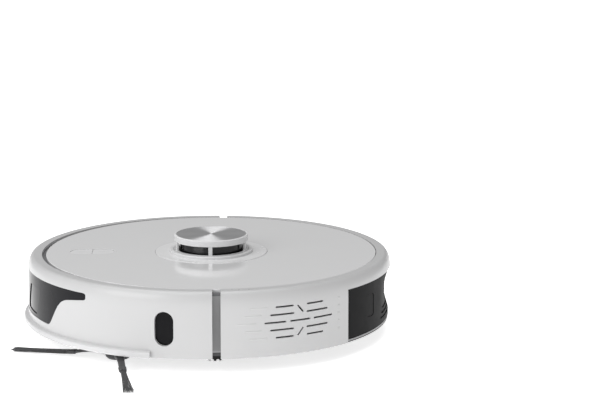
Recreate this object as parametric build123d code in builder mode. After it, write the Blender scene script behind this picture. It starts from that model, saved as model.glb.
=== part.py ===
from build123d import *
import os
from math import atan2, cos, degrees, radians, sin, sqrt

# Robot vacuum with a lidar tower. Millimetres. +X is forward, +Y is its left side, +Z is up,
# and the origin is on the floor under the centre of the round body.

# ---- driving sizes: body ----
body_radius = 175.0
body_bottom = 14.0
plate_top = 77.0
plate_thickness = 3.0
deck_thickness = 2.0
floor_thickness = 2.5
shell_wall = 2.6
shoulder_drop = 17.0
rim_roll = 6.5
rim_width = 7.4
rim_rise = 0.3
rim_gap = 0.6
inner_wall = 2.5
inner_wall_room = 5.4
edge_rise = 6.0
# ---- driving sizes: bumper ----
bumper_travel = 3.5
bumper_end_x = -4.8
side_gap = 7.7
bumper_flange_lift = 0.5
lip_reach = 4.0
lip_height = 6.5
lip_half_angle = 74.0
window_bottom_rise = 13.3
window_top_rise = 53.2
window_recess = 0.4
window_thickness = 2.0
window_fit = 0.15
window_foot_half = 94.5
window_waist_half = 107.0
window_waist_rise = 21.0
window_neck_half = 114.0
window_neck_drop = 2.1
window_neck_radius = 18.0
window_foot_radius = 7.0
window_wing_half = 136.0
window_wing_height = 6.8
window_tip_radius = 2.4
lens_recess = 0.8
lens_thickness = 1.2
lens_corner = 3.0
lens_bottom_inner = 29.0
lens_bottom_outer = 66.0
lens_top_inner = 44.0
lens_top_outer = 77.0
lens_foot_above_window = 3.4
lens_height = 25.5
eye_angle = 78.1
eye_width = 17.9
eye_height = 32.3
eye_rise = 28.3
eye_depth = 5.4
eye_rim = 2.0
eye_pane = 1.6
# ---- driving sizes: rear opening and grille ----
rear_half_angle = 41.7
rear_top_rise = 51.8
grille_angle = 119.3
grille_rise = 32.2
grille_pitch = 7.2
slot_height = 1.6
grille_long_slot = 21.5
grille_gap = 3.7
grille_inner_slot = 24.0
grille_inner_place = 18.5
grille_outer_slot = 18.3
grille_outer_place = 16.0
grille_link_run = 6.1
screen_width = 74.0
screen_height = 38.0
screen_thickness = 0.8
# ---- driving sizes: lidar tower ----
rotor_radius = 32.8
rotor_gap = 0.6
pillar_depth = 1.8
pillar_width = 3.8
pillar_count = 5
pillar_foot = 1.0
cap_overhang = 0.7
cap_height = 6.0
cap_round = 1.0
cap_disc_margin = 1.9
cap_disc_recess = 0.25
cap_disc_thickness = 1.5
cover_ring_wall = 3.0
pedestal_wall = 3.5
pedestal_height = 3.2
base_ring_width = 14.2
base_ring_rise = 0.4
band_height = 8.5
lidar_press = 1.0
lidar_well_depth = 18.0
lidar_gap = 0.4
lidar_motor_radius = 13.0
# ---- driving sizes: keys ----
key_x = 116.0
key_length = 43.0
key_width = 20.0
key_ring = 1.4
key_travel = 0.8
key_gap = 0.3
key_thickness = 1.8
key_drop = 0.2
key_stem_radius = 2.5
board_drop = 10.0
board_half_y = 55.0
board_thickness = 1.6
# ---- driving sizes: drive wheels ----
wheel_radius = 34.0
wheel_width = 18.0
tyre_thickness = 6.0
lug_depth = 1.6
lug_width = 2.6
lug_count = 40
wheel_x = -6.0
wheel_track = 235.0
pivot_x = 46.0
pivot_height = 40.0
gearbox_width = 15.8
gearbox_side_gap = 0.6
wheel_side_gap = 1.1
gearbox_end_radius = 17.0
gearbox_pivot_radius = 10.0
pivot_pin_radius = 2.5
shaft_radius = 4.0
running_clearance = 0.05
well_side_room = 4.5
well_back_room = 2.0
well_front_room = 6.0
well_wall = 1.5
ear_thickness = 3.0
boss_radius = 6.0
boss_height = 4.0
coil_length = 5.0
coil_wall = 2.1
# ---- driving sizes: caster ----
caster_x = 132.0
caster_radius = 13.0
caster_width = 14.0
caster_trail = 7.0
caster_stem_radius = 3.5
caster_stem_length = 9.0
caster_axle_radius = 1.5
caster_room = 2.0
caster_head_room = 8.0
cheek_thickness = 2.5
cheek_radius = 6.0
cheek_gap = 0.6
# ---- driving sizes: brushes ----
roller_x = -46.0
roller_height = 22.0
roller_radius = 18.0
roller_core_radius = 10.0
roller_half = 80.0
roller_fins_count = 6
fin_thickness = 2.2
journal_radius = 4.0
journal_length = 3.0
roller_room = 1.5
roller_end_room = 3.0
brush_box_wall = 2.5
intake_half = 55.0
intake_bottom = 24.0
intake_top = 38.0
duct_wall = 1.5
guard_drop = 2.6
guard_margin = 4.0
side_brush_x = 84.0
side_brush_y = 129.0
side_brush_reach = 112.0
side_brush_arm = 52.0
side_brush_hub_radius = 12.0
side_brush_hub_bottom = 4.5
side_brush_first_angle = -22.0
side_brush_arms_count = 3
side_brush_motor_radius = 5.5
# ---- driving sizes: dustbin ----
bin_front_x = -92.0
bin_half_width = 98.0
bin_height = 47.0
bin_wall = 2.0
bin_clearance = 0.4
face_thickness = 5.0
port_width = 44.0
port_height = 18.0
port_corner = 5.0
port_steps = 3
port_step_depth = 1.0
port_step_inset = 7.0
port_surround_width = 118.0
port_surround_height = 40.0
port_surround_corner = 6.0
latch_y = 80.0
latch_width = 12.0
latch_height = 21.0
latch_corner = 3.6
latch_gap = 0.4
latch_travel = 2.0
flap_thickness = 1.6
flap_overlap = 3.0
filter_depth = 9.0
filter_half = 28.0
filter_border = 2.0
filter_pleats = 13
# ---- driving sizes: inside ----
cell_radius = 9.1
cell_length = 65.0
battery_x = 68.0
case_wall = 1.2
cover_margin = 4.0
fan_x = 10.0
fan_y = 52.0
fan_radius = 26.0
fan_wall = 3.0
impeller_radius = 20.0
impeller_height = 9.0
duct_height = 10.5
duct_half = 11.0
duct_drop = 8.9
motor_shaft_radius = 3.0
seat_gap = 0.3
cliff_inset = 9.0
foot_relief = 0.8
speaker_x = -70.0
speaker_y = 124.0
contact_x = -128.0
contact_y = 36.0

# ---- sizes that follow ----
shell_inner_radius = body_radius - shell_wall
crest_radius = body_radius - rim_roll
rim_inner_radius = crest_radius - rim_width
plate_radius = rim_inner_radius - rim_gap
inner_wall_radius = shell_inner_radius - inner_wall_room
rim_top = plate_top + rim_rise
shoulder_height = plate_top - shoulder_drop
deck_top = plate_top - plate_thickness
deck_bottom = deck_top - deck_thickness
floor_top = body_bottom + floor_thickness
rear_start_x = bumper_end_x - side_gap
rear_floor_radius = shell_inner_radius - 0.2
rear_half_width = body_radius * sin(radians(rear_half_angle))
wheel_y = wheel_track / 2
wheel_inner_y = wheel_y - wheel_width / 2
gearbox_outer_y = wheel_inner_y - wheel_side_gap
gearbox_inner_y = gearbox_outer_y - gearbox_width
well_inner_y = gearbox_inner_y - gearbox_side_gap
well_outer_y = wheel_y + wheel_width / 2 + well_side_room
well_front_x = pivot_x + gearbox_pivot_radius + well_front_room
well_back_x = wheel_x - wheel_radius - well_back_room
ear_back_x = pivot_x - gearbox_pivot_radius + 3
ear_y = gearbox_outer_y + gearbox_side_gap
cover_ring_inner = rotor_radius + rotor_gap
cover_ring_outer = cover_ring_inner + cover_ring_wall
pillar_radius = cover_ring_inner + pillar_depth
cap_radius = pillar_radius + cap_overhang
cap_disc_radius = cap_radius - cap_disc_margin
pedestal_inner = cover_ring_outer + lidar_gap
pedestal_radius = pedestal_inner + pedestal_wall
base_ring_radius = pedestal_radius + base_ring_width
lidar_seat = deck_top + 1.2
pedestal_top = plate_top + pedestal_height
cap_bottom = pedestal_top + band_height
cap_top = cap_bottom + cap_height
cup_floor = deck_top - lidar_well_depth
eye_centre_z = body_bottom + eye_rise
bin_bottom = floor_top + bin_clearance
bin_top = bin_bottom + bin_height
bin_face_radius = shell_inner_radius + 0.3
bin_back_radius = bin_face_radius - face_thickness
fan_bottom = floor_top + 0.1
fan_top = bin_top - duct_drop
duct_bottom = fan_top - duct_height
impeller_bottom = fan_bottom + 14

pieces = {}


def radial_plane(angle, radius, height, centre_x=0.0):
    """A plane whose normal points outwards from the body at an angle from forward."""
    direction = (cos(radians(angle)), sin(radians(angle)), 0)
    origin = (centre_x + radius * direction[0], radius * direction[1], height)
    return Plane(origin=origin, x_dir=(-direction[1], direction[0], 0), z_dir=direction)


def turned_ring(inner, outer, bottom, top, centre=(0.0, 0.0)):
    """A plain ring, or a disc where the inner radius is nothing."""
    with BuildPart() as ring:
        with BuildSketch(Plane.XY.offset(bottom)):
            with Locations(centre):
                Circle(outer)
                if inner > 0:
                    Circle(inner, mode=Mode.SUBTRACT)
        extrude(amount=top - bottom)
    return ring


def block(x0, x1, y0, y1, z0, z1):
    """A box given by its corners."""
    with BuildPart() as box:
        with Locations(((x0 + x1) / 2, (y0 + y1) / 2, (z0 + z1) / 2)):
            Box(abs(x1 - x0), abs(y1 - y0), abs(z1 - z0))
    return box


def outer_wall(centre_x, flange_bottom):
    """The round outer wall with its rolled shoulder and its flat top rim, all the way round."""
    plane = Plane(origin=(centre_x, 0, 0), x_dir=(1, 0, 0), z_dir=(0, -1, 0))
    shoulder = rim_top - shoulder_height
    with BuildPart() as wall:
        with BuildSketch(plane):
            with BuildLine():
                Polyline(
                    (rim_inner_radius, flange_bottom), (rim_inner_radius, rim_top), (crest_radius, rim_top)
                )
                Bezier(
                    (crest_radius, rim_top),
                    (body_radius - 0.8, rim_top - 0.4),
                    (body_radius, shoulder_height + shoulder * 0.45),
                    (body_radius, shoulder_height),
                )
                Polyline(
                    (body_radius, shoulder_height),
                    (body_radius, body_bottom + 1),
                    (body_radius - 1, body_bottom),
                    (shell_inner_radius, body_bottom),
                    (shell_inner_radius, shoulder_height - 1),
                )
                Bezier(
                    (shell_inner_radius, shoulder_height - 1),
                    (shell_inner_radius, shoulder_height + shoulder * 0.4),
                    (shell_inner_radius - 1.2, flange_bottom),
                    (crest_radius - 1, flange_bottom),
                )
                Line((crest_radius - 1, flange_bottom), (rim_inner_radius, flange_bottom))
            make_face()
        revolve(axis=Axis((centre_x, 0, 0), (0, 0, 1)))
    return wall


# ---- chassis ----
def wheel_well(side):
    """The box over one drive wheel, with the ears that hold its swing arm."""
    inner = side * well_inner_y
    outer = side * well_outer_y
    with BuildPart() as well:
        add(
            block(
                well_back_x - well_wall,
                well_front_x + well_wall,
                inner - side * well_wall,
                outer + side * well_wall,
                floor_top,
                deck_bottom,
            ).part
        )
        add(
            block(well_back_x, well_front_x, inner, outer, floor_top, deck_bottom - well_wall).part,
            mode=Mode.SUBTRACT,
        )
        add(
            block(
                ear_back_x,
                well_front_x,
                side * ear_y,
                side * (ear_y + ear_thickness),
                body_bottom,
                deck_bottom - well_wall,
            ).part
        )
        boss_plane = Plane(origin=(pivot_x, inner - side * boss_height, pivot_height), z_dir=(0, side, 0))
        with BuildSketch(boss_plane):
            Circle(boss_radius)
        extrude(amount=boss_height)
        with BuildSketch(boss_plane):
            Circle(pivot_pin_radius + 0.02)
        extrude(
            amount=boss_height + gearbox_width + 2 * gearbox_side_gap + ear_thickness + 1,
            mode=Mode.SUBTRACT,
        )
    return well


battery_half_x = 1.5 * 2 * cell_radius + 3
battery_half_y = cell_length + 3
brush_box_half = roller_half + roller_end_room + journal_length
brush_box_front = roller_x + roller_radius + roller_room + brush_box_wall
brush_box_back = roller_x - roller_radius - roller_room - brush_box_wall
caster_cavity = caster_trail + caster_radius + caster_room
bay_half = bin_half_width + 0.4

with BuildPart() as chassis_base:
    with BuildSketch(Plane.XZ):
        with BuildLine():
            Polyline(
                (0, body_bottom),
                (inner_wall_radius - edge_rise, body_bottom),
                (inner_wall_radius, body_bottom + edge_rise),
                (inner_wall_radius, deck_bottom),
                (inner_wall_radius - inner_wall, deck_bottom),
                (inner_wall_radius - inner_wall, body_bottom + edge_rise + 1),
                (inner_wall_radius - edge_rise - 1, floor_top),
                (0, floor_top),
                close=True,
            )
        make_face()
    revolve(axis=Axis.Z)
    with BuildSketch(Plane.XY.offset(body_bottom)):
        Circle(rear_floor_radius)
        with Locations((body_radius + rear_start_x - 1, 0)):
            Rectangle(2 * body_radius, 3 * body_radius, mode=Mode.SUBTRACT)
    extrude(amount=floor_thickness)
    add(
        block(-2 * body_radius, bin_front_x, -bay_half, bay_half, floor_top, bin_top + 3).part,
        mode=Mode.SUBTRACT,
    )
    for side in (1, -1):
        add(wheel_well(side).part)
        add(
            block(
                well_back_x,
                ear_back_x,
                side * well_inner_y,
                side * well_outer_y,
                body_bottom,
                floor_top,
            ).part,
            mode=Mode.SUBTRACT,
        )
        add(
            block(
                ear_back_x,
                well_front_x,
                side * well_inner_y,
                side * ear_y,
                body_bottom,
                floor_top,
            ).part,
            mode=Mode.SUBTRACT,
        )
    # openings in the floor: roller, battery door, caster, side brush shaft
    add(
        block(
            brush_box_back + brush_box_wall,
            brush_box_front - brush_box_wall,
            -roller_half - roller_end_room,
            roller_half + roller_end_room,
            body_bottom,
            floor_top,
        ).part,
        mode=Mode.SUBTRACT,
    )
    add(
        block(
            battery_x - battery_half_x - cover_margin,
            battery_x + battery_half_x + cover_margin,
            -battery_half_y - cover_margin,
            battery_half_y + cover_margin,
            body_bottom,
            floor_top,
        ).part,
        mode=Mode.SUBTRACT,
    )
    with BuildSketch(Plane.XY.offset(body_bottom)):
        with Locations((caster_x, 0)):
            Circle(caster_cavity)
    extrude(amount=floor_thickness, mode=Mode.SUBTRACT)
    with BuildSketch(Plane.XY.offset(body_bottom)):
        with Locations((side_brush_x, side_brush_y)):
            Circle(5)
    extrude(amount=floor_thickness, mode=Mode.SUBTRACT)
    # the opening in the inner wall behind the air grille
    with BuildSketch(radial_plane(grille_angle, inner_wall_radius - 8, body_bottom + grille_rise)):
        RectangleRounded(44, 34, 4)
    extrude(amount=16, mode=Mode.SUBTRACT)
pieces["chassis_base"] = chassis_base

# ---- deck and top plate ----
key_half = key_length / 2
key_stem_offset = key_half / 2 + 2
board_top = deck_bottom - board_drop
board_back_x = pedestal_radius + 8
board_front_x = key_x + 26

with BuildPart() as top_frame:
    with BuildSketch(Plane.XY.offset(deck_bottom)):
        Circle(inner_wall_radius)
        Circle(pedestal_radius + 1.7, mode=Mode.SUBTRACT)
        with Locations((key_x - key_stem_offset, 0), (key_x + key_stem_offset, 0)):
            Circle(key_stem_radius + 0.4, mode=Mode.SUBTRACT)
    extrude(amount=deck_thickness)
    with BuildSketch(Plane.XY.offset(board_top)):
        for post_x in (board_back_x + 5, board_front_x - 5):
            with Locations((post_x, board_half_y - 5), (post_x, -board_half_y + 5)):
                Circle(3)
    extrude(amount=deck_bottom - board_top)
pieces["top_frame"] = top_frame

with BuildPart() as top_plate:
    with BuildSketch(Plane.XY.offset(deck_top)):
        Circle(plate_radius)
        Circle(base_ring_radius + 0.3, mode=Mode.SUBTRACT)
        with Locations((key_x, 0)):
            SlotOverall(key_length + 2 * key_ring, key_width + 2 * key_ring, mode=Mode.SUBTRACT)
    extrude(amount=plate_thickness)
    plate_edge = top_plate.edges().filter_by(GeomType.CIRCLE).group_by(Axis.Z)[-1].sort_by(SortBy.RADIUS)[-1]
    fillet(plate_edge, 0.5)
pieces["top_plate"] = top_plate

# ---- rear shell ----
with BuildPart() as rear_shell:
    add(outer_wall(0, deck_top).part)
    with BuildSketch(Plane.XY.offset(floor_top)):
        Circle(shell_inner_radius + 0.5)
        Circle(inner_wall_radius + 1, mode=Mode.SUBTRACT)
    extrude(amount=2)
    split(bisect_by=Plane.YZ.offset(rear_start_x), keep=Keep.BOTTOM)
    add(
        block(
            -2 * body_radius,
            -body_radius * cos(radians(rear_half_angle)) + 12,
            -rear_half_width,
            rear_half_width,
            0,
            body_bottom + rear_top_rise,
        ).part,
        mode=Mode.SUBTRACT,
    )
    grille_plane = radial_plane(grille_angle, body_radius - 12, body_bottom + grille_rise)
    with BuildSketch(grille_plane):
        with GridLocations(grille_long_slot + grille_gap, 1, 3, 1):
            SlotOverall(grille_long_slot, slot_height)
        with GridLocations(2 * grille_inner_place, 2 * grille_pitch, 2, 2):
            SlotOverall(grille_inner_slot, slot_height)
        with GridLocations(2 * grille_outer_place, 4 * grille_pitch, 2, 2):
            SlotOverall(grille_outer_slot, slot_height)
        link_tilt = degrees(atan2(grille_pitch, grille_link_run))
        for updown in (1, -1):
            with Locations((0, updown * 1.5 * grille_pitch)):
                SlotOverall(
                    sqrt(
                        grille_link_run**2 + grille_pitch**2
                    ), slot_height, rotation=updown * (180 - link_tilt)
                )
    extrude(amount=24, mode=Mode.SUBTRACT)
pieces["rear_shell"] = rear_shell

with BuildPart() as grille_screen:
    add(
        turned_ring(
            shell_inner_radius - 0.4 - screen_thickness,
            shell_inner_radius - 0.4,
            body_bottom + grille_rise - screen_height / 2,
            body_bottom + grille_rise + screen_height / 2,
        ).part
    )
    with BuildSketch(radial_plane(grille_angle, body_radius - 30, body_bottom + grille_rise)):
        Rectangle(screen_width, 2 * screen_height)
    extrude(amount=40, mode=Mode.INTERSECT)
pieces["grille_screen"] = grille_screen


# ---- bumper ----
def window_outline(margin):
    """The outline of the front window, seen from ahead, grown by a margin."""
    foot = body_bottom + window_bottom_rise
    top = body_bottom + window_top_rise
    waist = foot + window_waist_rise
    wing = top - window_wing_height + 0.6
    with BuildSketch() as outline:
        with BuildLine():
            Polyline(
                (0, foot),
                (window_foot_half, foot),
                (window_waist_half, waist),
                (window_neck_half, wing - window_wing_height + window_neck_drop),
                (window_wing_half, wing),
                (window_wing_half, top),
                (0, top),
                close=True,
            )
        make_face()
        for corner_y, corner_radius in (
            (window_foot_half, window_foot_radius),
            (window_neck_half, window_neck_radius),
            (window_wing_half, window_tip_radius),
        ):
            corners = outline.vertices().filter_by(lambda v: abs(v.X - corner_y) < 0.1)
            fillet(corners, corner_radius)
        mirror(about=Plane.YZ)
        if margin > 0:
            offset(amount=margin)
    return outline


def lens_outline(side, margin):
    """One slanted sensor pane of the front window."""
    foot = body_bottom + window_bottom_rise + lens_foot_above_window
    with BuildSketch() as outline:
        with BuildLine():
            Polyline(
                (side * lens_bottom_inner, foot),
                (side * lens_bottom_outer, foot),
                (side * lens_top_outer, foot + lens_height),
                (side * lens_top_inner, foot + lens_height),
                close=True,
            )
        make_face()
        fillet(outline.vertices(), lens_corner)
        if margin > 0:
            offset(amount=margin)
    return outline


eye_plane = radial_plane(eye_angle, body_radius - eye_depth, eye_centre_z, bumper_travel)

with BuildPart() as bumper_shell:
    add(outer_wall(bumper_travel, deck_top + bumper_flange_lift).part)
    with BuildSketch(eye_plane):
        SlotOverall(eye_height + 2 * eye_rim, eye_width + 2 * eye_rim, rotation=90)
    extrude(amount=eye_depth - 1)
    split(bisect_by=Plane.YZ.offset(bumper_end_x), keep=Keep.TOP)
    with BuildSketch(Plane.YZ.offset(60)):
        add(window_outline(window_fit).sketch)
    extrude(amount=body_radius, mode=Mode.SUBTRACT)
    with BuildSketch(eye_plane.offset(-1)):
        SlotOverall(eye_height, eye_width, rotation=90)
    extrude(amount=eye_depth + 8, mode=Mode.SUBTRACT)
pieces["bumper_shell"] = bumper_shell

with BuildPart() as side_sensor_window:
    with BuildSketch(eye_plane.offset(0.2)):
        SlotOverall(eye_height - 0.2, eye_width - 0.2, rotation=90)
    extrude(amount=eye_pane)
pieces["side_sensor_window"] = side_sensor_window

with BuildPart() as front_window:
    outer = body_radius - window_recess
    add(turned_ring(outer - window_thickness, outer, 0, plate_top, (bumper_travel, 0)).part)
    with BuildSketch(Plane.YZ.offset(60)):
        add(window_outline(0).sketch)
    extrude(amount=body_radius, mode=Mode.INTERSECT)
    for side in (1, -1):
        with BuildSketch(Plane.YZ.offset(60)):
            add(lens_outline(side, window_fit).sketch)
        extrude(amount=body_radius, mode=Mode.SUBTRACT)
pieces["front_window"] = front_window

with BuildPart() as front_sensor_lenses:
    outer = body_radius - window_recess - lens_recess
    add(turned_ring(outer - lens_thickness, outer, 0, plate_top, (bumper_travel, 0)).part)
    with BuildSketch(Plane.YZ.offset(60)):
        for side in (1, -1):
            add(lens_outline(side, 0).sketch)
    extrude(amount=body_radius, mode=Mode.INTERSECT)
pieces["front_sensor_lenses"] = front_sensor_lenses

with BuildPart() as bumper_lip:
    with BuildSketch(Plane(origin=(bumper_travel, 0, 0), x_dir=(1, 0, 0), z_dir=(0, -1, 0))):
        with BuildLine():
            Polyline(
                (body_radius, body_bottom + 1),
                (body_radius, body_bottom + lip_height + 0.8),
                (body_radius + lip_reach - 1.5, body_bottom + lip_height),
            )
            Bezier(
                (body_radius + lip_reach - 1.5, body_bottom + lip_height),
                (body_radius + lip_reach, body_bottom + lip_height - 0.4),
                (body_radius + lip_reach, body_bottom + lip_height - 2),
            )
            Polyline(
                (body_radius + lip_reach, body_bottom + lip_height - 2),
                (body_radius + lip_reach, body_bottom + 1.5),
                (body_radius + lip_reach - 1.5, body_bottom),
                (body_radius - 1, body_bottom),
                (body_radius, body_bottom + 1),
            )
        make_face()
    revolve(axis=Axis((bumper_travel, 0, 0), (0, 0, 1)))
    lip_back_x = bumper_travel + (body_radius + lip_reach) * cos(radians(lip_half_angle))
    split(bisect_by=Plane.YZ.offset(lip_back_x), keep=Keep.TOP)
pieces["bumper_lip"] = bumper_lip

with BuildPart() as bumper_switches:
    for side in (1, -1):
        with BuildSketch(radial_plane(side * 38, inner_wall_radius - 1, body_bottom + 8)):
            Rectangle(10, 6)
        extrude(amount=4)
    with BuildSketch(Plane.XY.offset(0)):
        Circle(inner_wall_radius)
    extrude(amount=plate_top, mode=Mode.SUBTRACT)
pieces["bumper_switches"] = bumper_switches

# ---- lidar tower ----
with BuildPart() as lidar_base:
    add(turned_ring(pedestal_inner, pedestal_radius, cup_floor, pedestal_top - 0.2).part)
    add(turned_ring(pedestal_radius - 1, base_ring_radius - 1.5, deck_top, lidar_seat).part)
    add(turned_ring(motor_shaft_radius + 1, pedestal_radius, cup_floor, cup_floor + 2).part)
    add(turned_ring(cover_ring_inner + 0.2, pedestal_inner + 0.5, cup_floor + 2, cup_floor + 12.4).part)
    rim_edge = lidar_base.edges().filter_by(GeomType.CIRCLE).group_by(Axis.Z)[-1].sort_by(SortBy.RADIUS)[-1]
    fillet(rim_edge, 0.8)
pieces["lidar_base"] = lidar_base

with BuildPart() as lidar_trim_ring:
    add(turned_ring(pedestal_radius + 0.1, base_ring_radius, lidar_seat, plate_top + base_ring_rise).part)
    ring_edge = lidar_trim_ring.edges().group_by(Axis.Z)[-1].sort_by(SortBy.RADIUS)[-1]
    chamfer(ring_edge, 0.3)
pieces["lidar_trim_ring"] = lidar_trim_ring

with BuildPart() as lidar_cover:
    add(turned_ring(cover_ring_inner, cover_ring_outer, cup_floor + 14, pedestal_top).part)
    add(turned_ring(0, cap_radius, cap_bottom, cap_top).part)
    cap_edge = lidar_cover.edges().filter_by(GeomType.CIRCLE).group_by(Axis.Z)[-1].sort_by(SortBy.RADIUS)[-1]
    fillet(cap_edge, cap_round)
    with BuildSketch(Plane.XY.offset(pedestal_top - pillar_foot)):
        with PolarLocations(pillar_radius - 3, pillar_count, start_angle=90):
            Rectangle(10, pillar_width)
        Circle(pillar_radius, mode=Mode.INTERSECT)
        Circle(cover_ring_inner, mode=Mode.SUBTRACT)
    extrude(amount=band_height + pillar_foot + 0.5)
    add(
        turned_ring(0, cap_disc_radius + 0.1, cap_top - cap_disc_thickness, cap_top).part,
        mode=Mode.SUBTRACT,
    )
pieces["lidar_cover"] = lidar_cover

with BuildPart() as lidar_cap_disc:
    add(turned_ring(0, cap_disc_radius, cap_top - cap_disc_thickness, cap_top - cap_disc_recess).part)
pieces["lidar_cap_disc"] = lidar_cap_disc

rotor_top = cap_bottom - lidar_press - 0.6
rotor_bottom = cup_floor + 3
with BuildPart() as lidar_rotor:
    add(turned_ring(0, rotor_radius, rotor_bottom, rotor_bottom + 5).part)
    add(turned_ring(0, rotor_radius - 2.5, rotor_bottom + 5, rotor_top).part)
    with BuildSketch(Plane.YZ.offset(rotor_radius - 9)):
        with Locations((-9, pedestal_top + 4), (9, pedestal_top + 4)):
            Circle(3.2)
    extrude(amount=12, mode=Mode.SUBTRACT)
    with BuildSketch(Plane.XY.offset(rotor_bottom)):
        Circle(motor_shaft_radius + running_clearance)
    extrude(amount=5, mode=Mode.SUBTRACT)
pieces["lidar_rotor"] = lidar_rotor

with BuildPart() as lidar_motor:
    add(turned_ring(0, lidar_motor_radius, cup_floor - lidar_motor_radius, cup_floor).part)
    add(turned_ring(0, motor_shaft_radius, cup_floor, rotor_bottom + 4.5).part)
pieces["lidar_motor"] = lidar_motor

# ---- keys ----
with BuildPart() as button_bezel:
    with BuildSketch(Plane.XY.offset(deck_top)):
        with Locations((key_x, 0)):
            SlotOverall(key_length + 2 * key_ring - 0.2, key_width + 2 * key_ring - 0.2)
            SlotOverall(key_length, key_width, mode=Mode.SUBTRACT)
    extrude(amount=plate_thickness)
pieces["button_bezel"] = button_bezel


def key(end):
    """One half of the key capsule; end is 1 for the front one and -1 for the back one."""
    with BuildPart() as half:
        with BuildSketch(Plane.XY.offset(plate_top - key_thickness - key_drop)):
            with Locations((key_x, 0)):
                SlotOverall(key_length - 2 * key_gap, key_width - 2 * key_gap)
            with Locations((key_x - end * (key_half - key_gap / 2), 0)):
                Rectangle(key_length, 2 * key_width, mode=Mode.SUBTRACT)
        extrude(amount=key_thickness)
        with BuildSketch(Plane.XY.offset(board_top + key_travel + 0.1)):
            with Locations((key_x + end * key_stem_offset, 0)):
                Circle(key_stem_radius)
        extrude(amount=plate_top - key_thickness - board_top - key_travel)
        top_edges = half.faces().sort_by(Axis.Z)[-1].edges()
        chamfer(top_edges, 0.25)
    return half


pieces["power_button"] = key(1)
pieces["home_button"] = key(-1)

with BuildPart() as main_board:
    add(
        block(
            board_back_x, board_front_x, -board_half_y, board_half_y, board_top - board_thickness, board_top
        ).part,
    )
    add(block(board_back_x + 15, board_back_x + 33, -9, 9, board_top - 4, board_top - board_thickness).part)
    add(
        block(
            board_back_x + 45, board_back_x + 57, 12, 30, board_top - 3.5, board_top - board_thickness
        ).part,
    )
    add(
        block(
            board_back_x + 45, board_back_x + 60, -32, -14, board_top - 6, board_top - board_thickness
        ).part,
    )
pieces["main_board"] = main_board

# ---- battery ----
battery_bottom = floor_top + 0.1
battery_top = battery_bottom + 2 * cell_radius + 3
with BuildPart() as battery_case:
    case = block(
        battery_x - battery_half_x,
        battery_x + battery_half_x,
        -battery_half_y,
        battery_half_y,
        battery_bottom,
        battery_top,
    )
    add(case.part)
    offset(amount=-case_wall, mode=Mode.SUBTRACT)
pieces["battery_case"] = battery_case

with BuildPart() as battery_cells:
    for end in (1, -1):
        for place in (-1, 0, 1):
            cell_x = battery_x + place * (2 * cell_radius + 0.2)
            cell_plane = Plane(
                origin=(cell_x, end * (cell_length + 0.6), battery_bottom + case_wall + 0.15 + cell_radius),
                z_dir=(0, -end, 0),
            )
            with BuildSketch(cell_plane):
                Circle(cell_radius)
            extrude(amount=cell_length)
pieces["battery_cells"] = battery_cells

with BuildPart() as battery_cover:
    add(
        block(
            battery_x - battery_half_x - cover_margin + 0.2,
            battery_x + battery_half_x + cover_margin - 0.2,
            -battery_half_y - cover_margin + 0.2,
            battery_half_y + cover_margin - 0.2,
            body_bottom,
            floor_top,
        ).part
    )
    with BuildSketch(Plane.XY.offset(body_bottom)):
        with GridLocations(0, 10, 1, 7):
            SlotOverall(2 * battery_half_x - 20, 2)
    extrude(amount=0.8, mode=Mode.SUBTRACT)
pieces["battery_cover"] = battery_cover

# ---- fan and air path ----
fan_neck_x = fan_x - fan_radius - 4
with BuildPart() as fan_housing:
    add(turned_ring(0, fan_radius, fan_bottom, fan_top, (fan_x, fan_y)).part)
    add(
        turned_ring(0, fan_radius - fan_wall, impeller_bottom - 2, fan_top - 2, (fan_x, fan_y)).part,
        mode=Mode.SUBTRACT,
    )
    add(
        block(fan_neck_x, fan_x - 14, fan_y - duct_half, fan_y + duct_half, duct_bottom, fan_top).part
    )
    add(
        block(
            fan_neck_x - 1,
            fan_x,
            fan_y - duct_half + duct_wall,
            fan_y + duct_half - duct_wall,
            duct_bottom + duct_wall,
            fan_top - duct_wall,
        ).part,
        mode=Mode.SUBTRACT,
    )
    add(turned_ring(0, motor_shaft_radius, impeller_bottom - 3, impeller_bottom + 6, (fan_x, fan_y)).part)
pieces["fan_housing"] = fan_housing

with BuildPart() as fan_impeller:
    hub_bore = motor_shaft_radius + running_clearance
    add(turned_ring(hub_bore, impeller_radius, impeller_bottom, impeller_bottom + 1.5, (fan_x, fan_y)).part)
    add(turned_ring(hub_bore, 7, impeller_bottom, impeller_bottom + 6.5, (fan_x, fan_y)).part)
    with BuildSketch(Plane.XY.offset(impeller_bottom + 1)):
        with Locations((fan_x, fan_y)):
            with PolarLocations(13.2, 9):
                Rectangle(13, 1.2, rotation=25)
    extrude(amount=impeller_height - 1)
pieces["fan_impeller"] = fan_impeller

with BuildPart() as air_duct:
    duct_x0 = bin_front_x + 0.5
    duct_x1 = fan_neck_x
    add(block(duct_x0, duct_x1, fan_y - duct_half, fan_y + duct_half, duct_bottom, fan_top).part)
    add(
        block(
            duct_x0,
            duct_x1,
            fan_y - duct_half + duct_wall,
            fan_y + duct_half - duct_wall,
            duct_bottom + duct_wall,
            fan_top - duct_wall,
        ).part,
        mode=Mode.SUBTRACT,
    )
pieces["air_duct"] = air_duct

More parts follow.
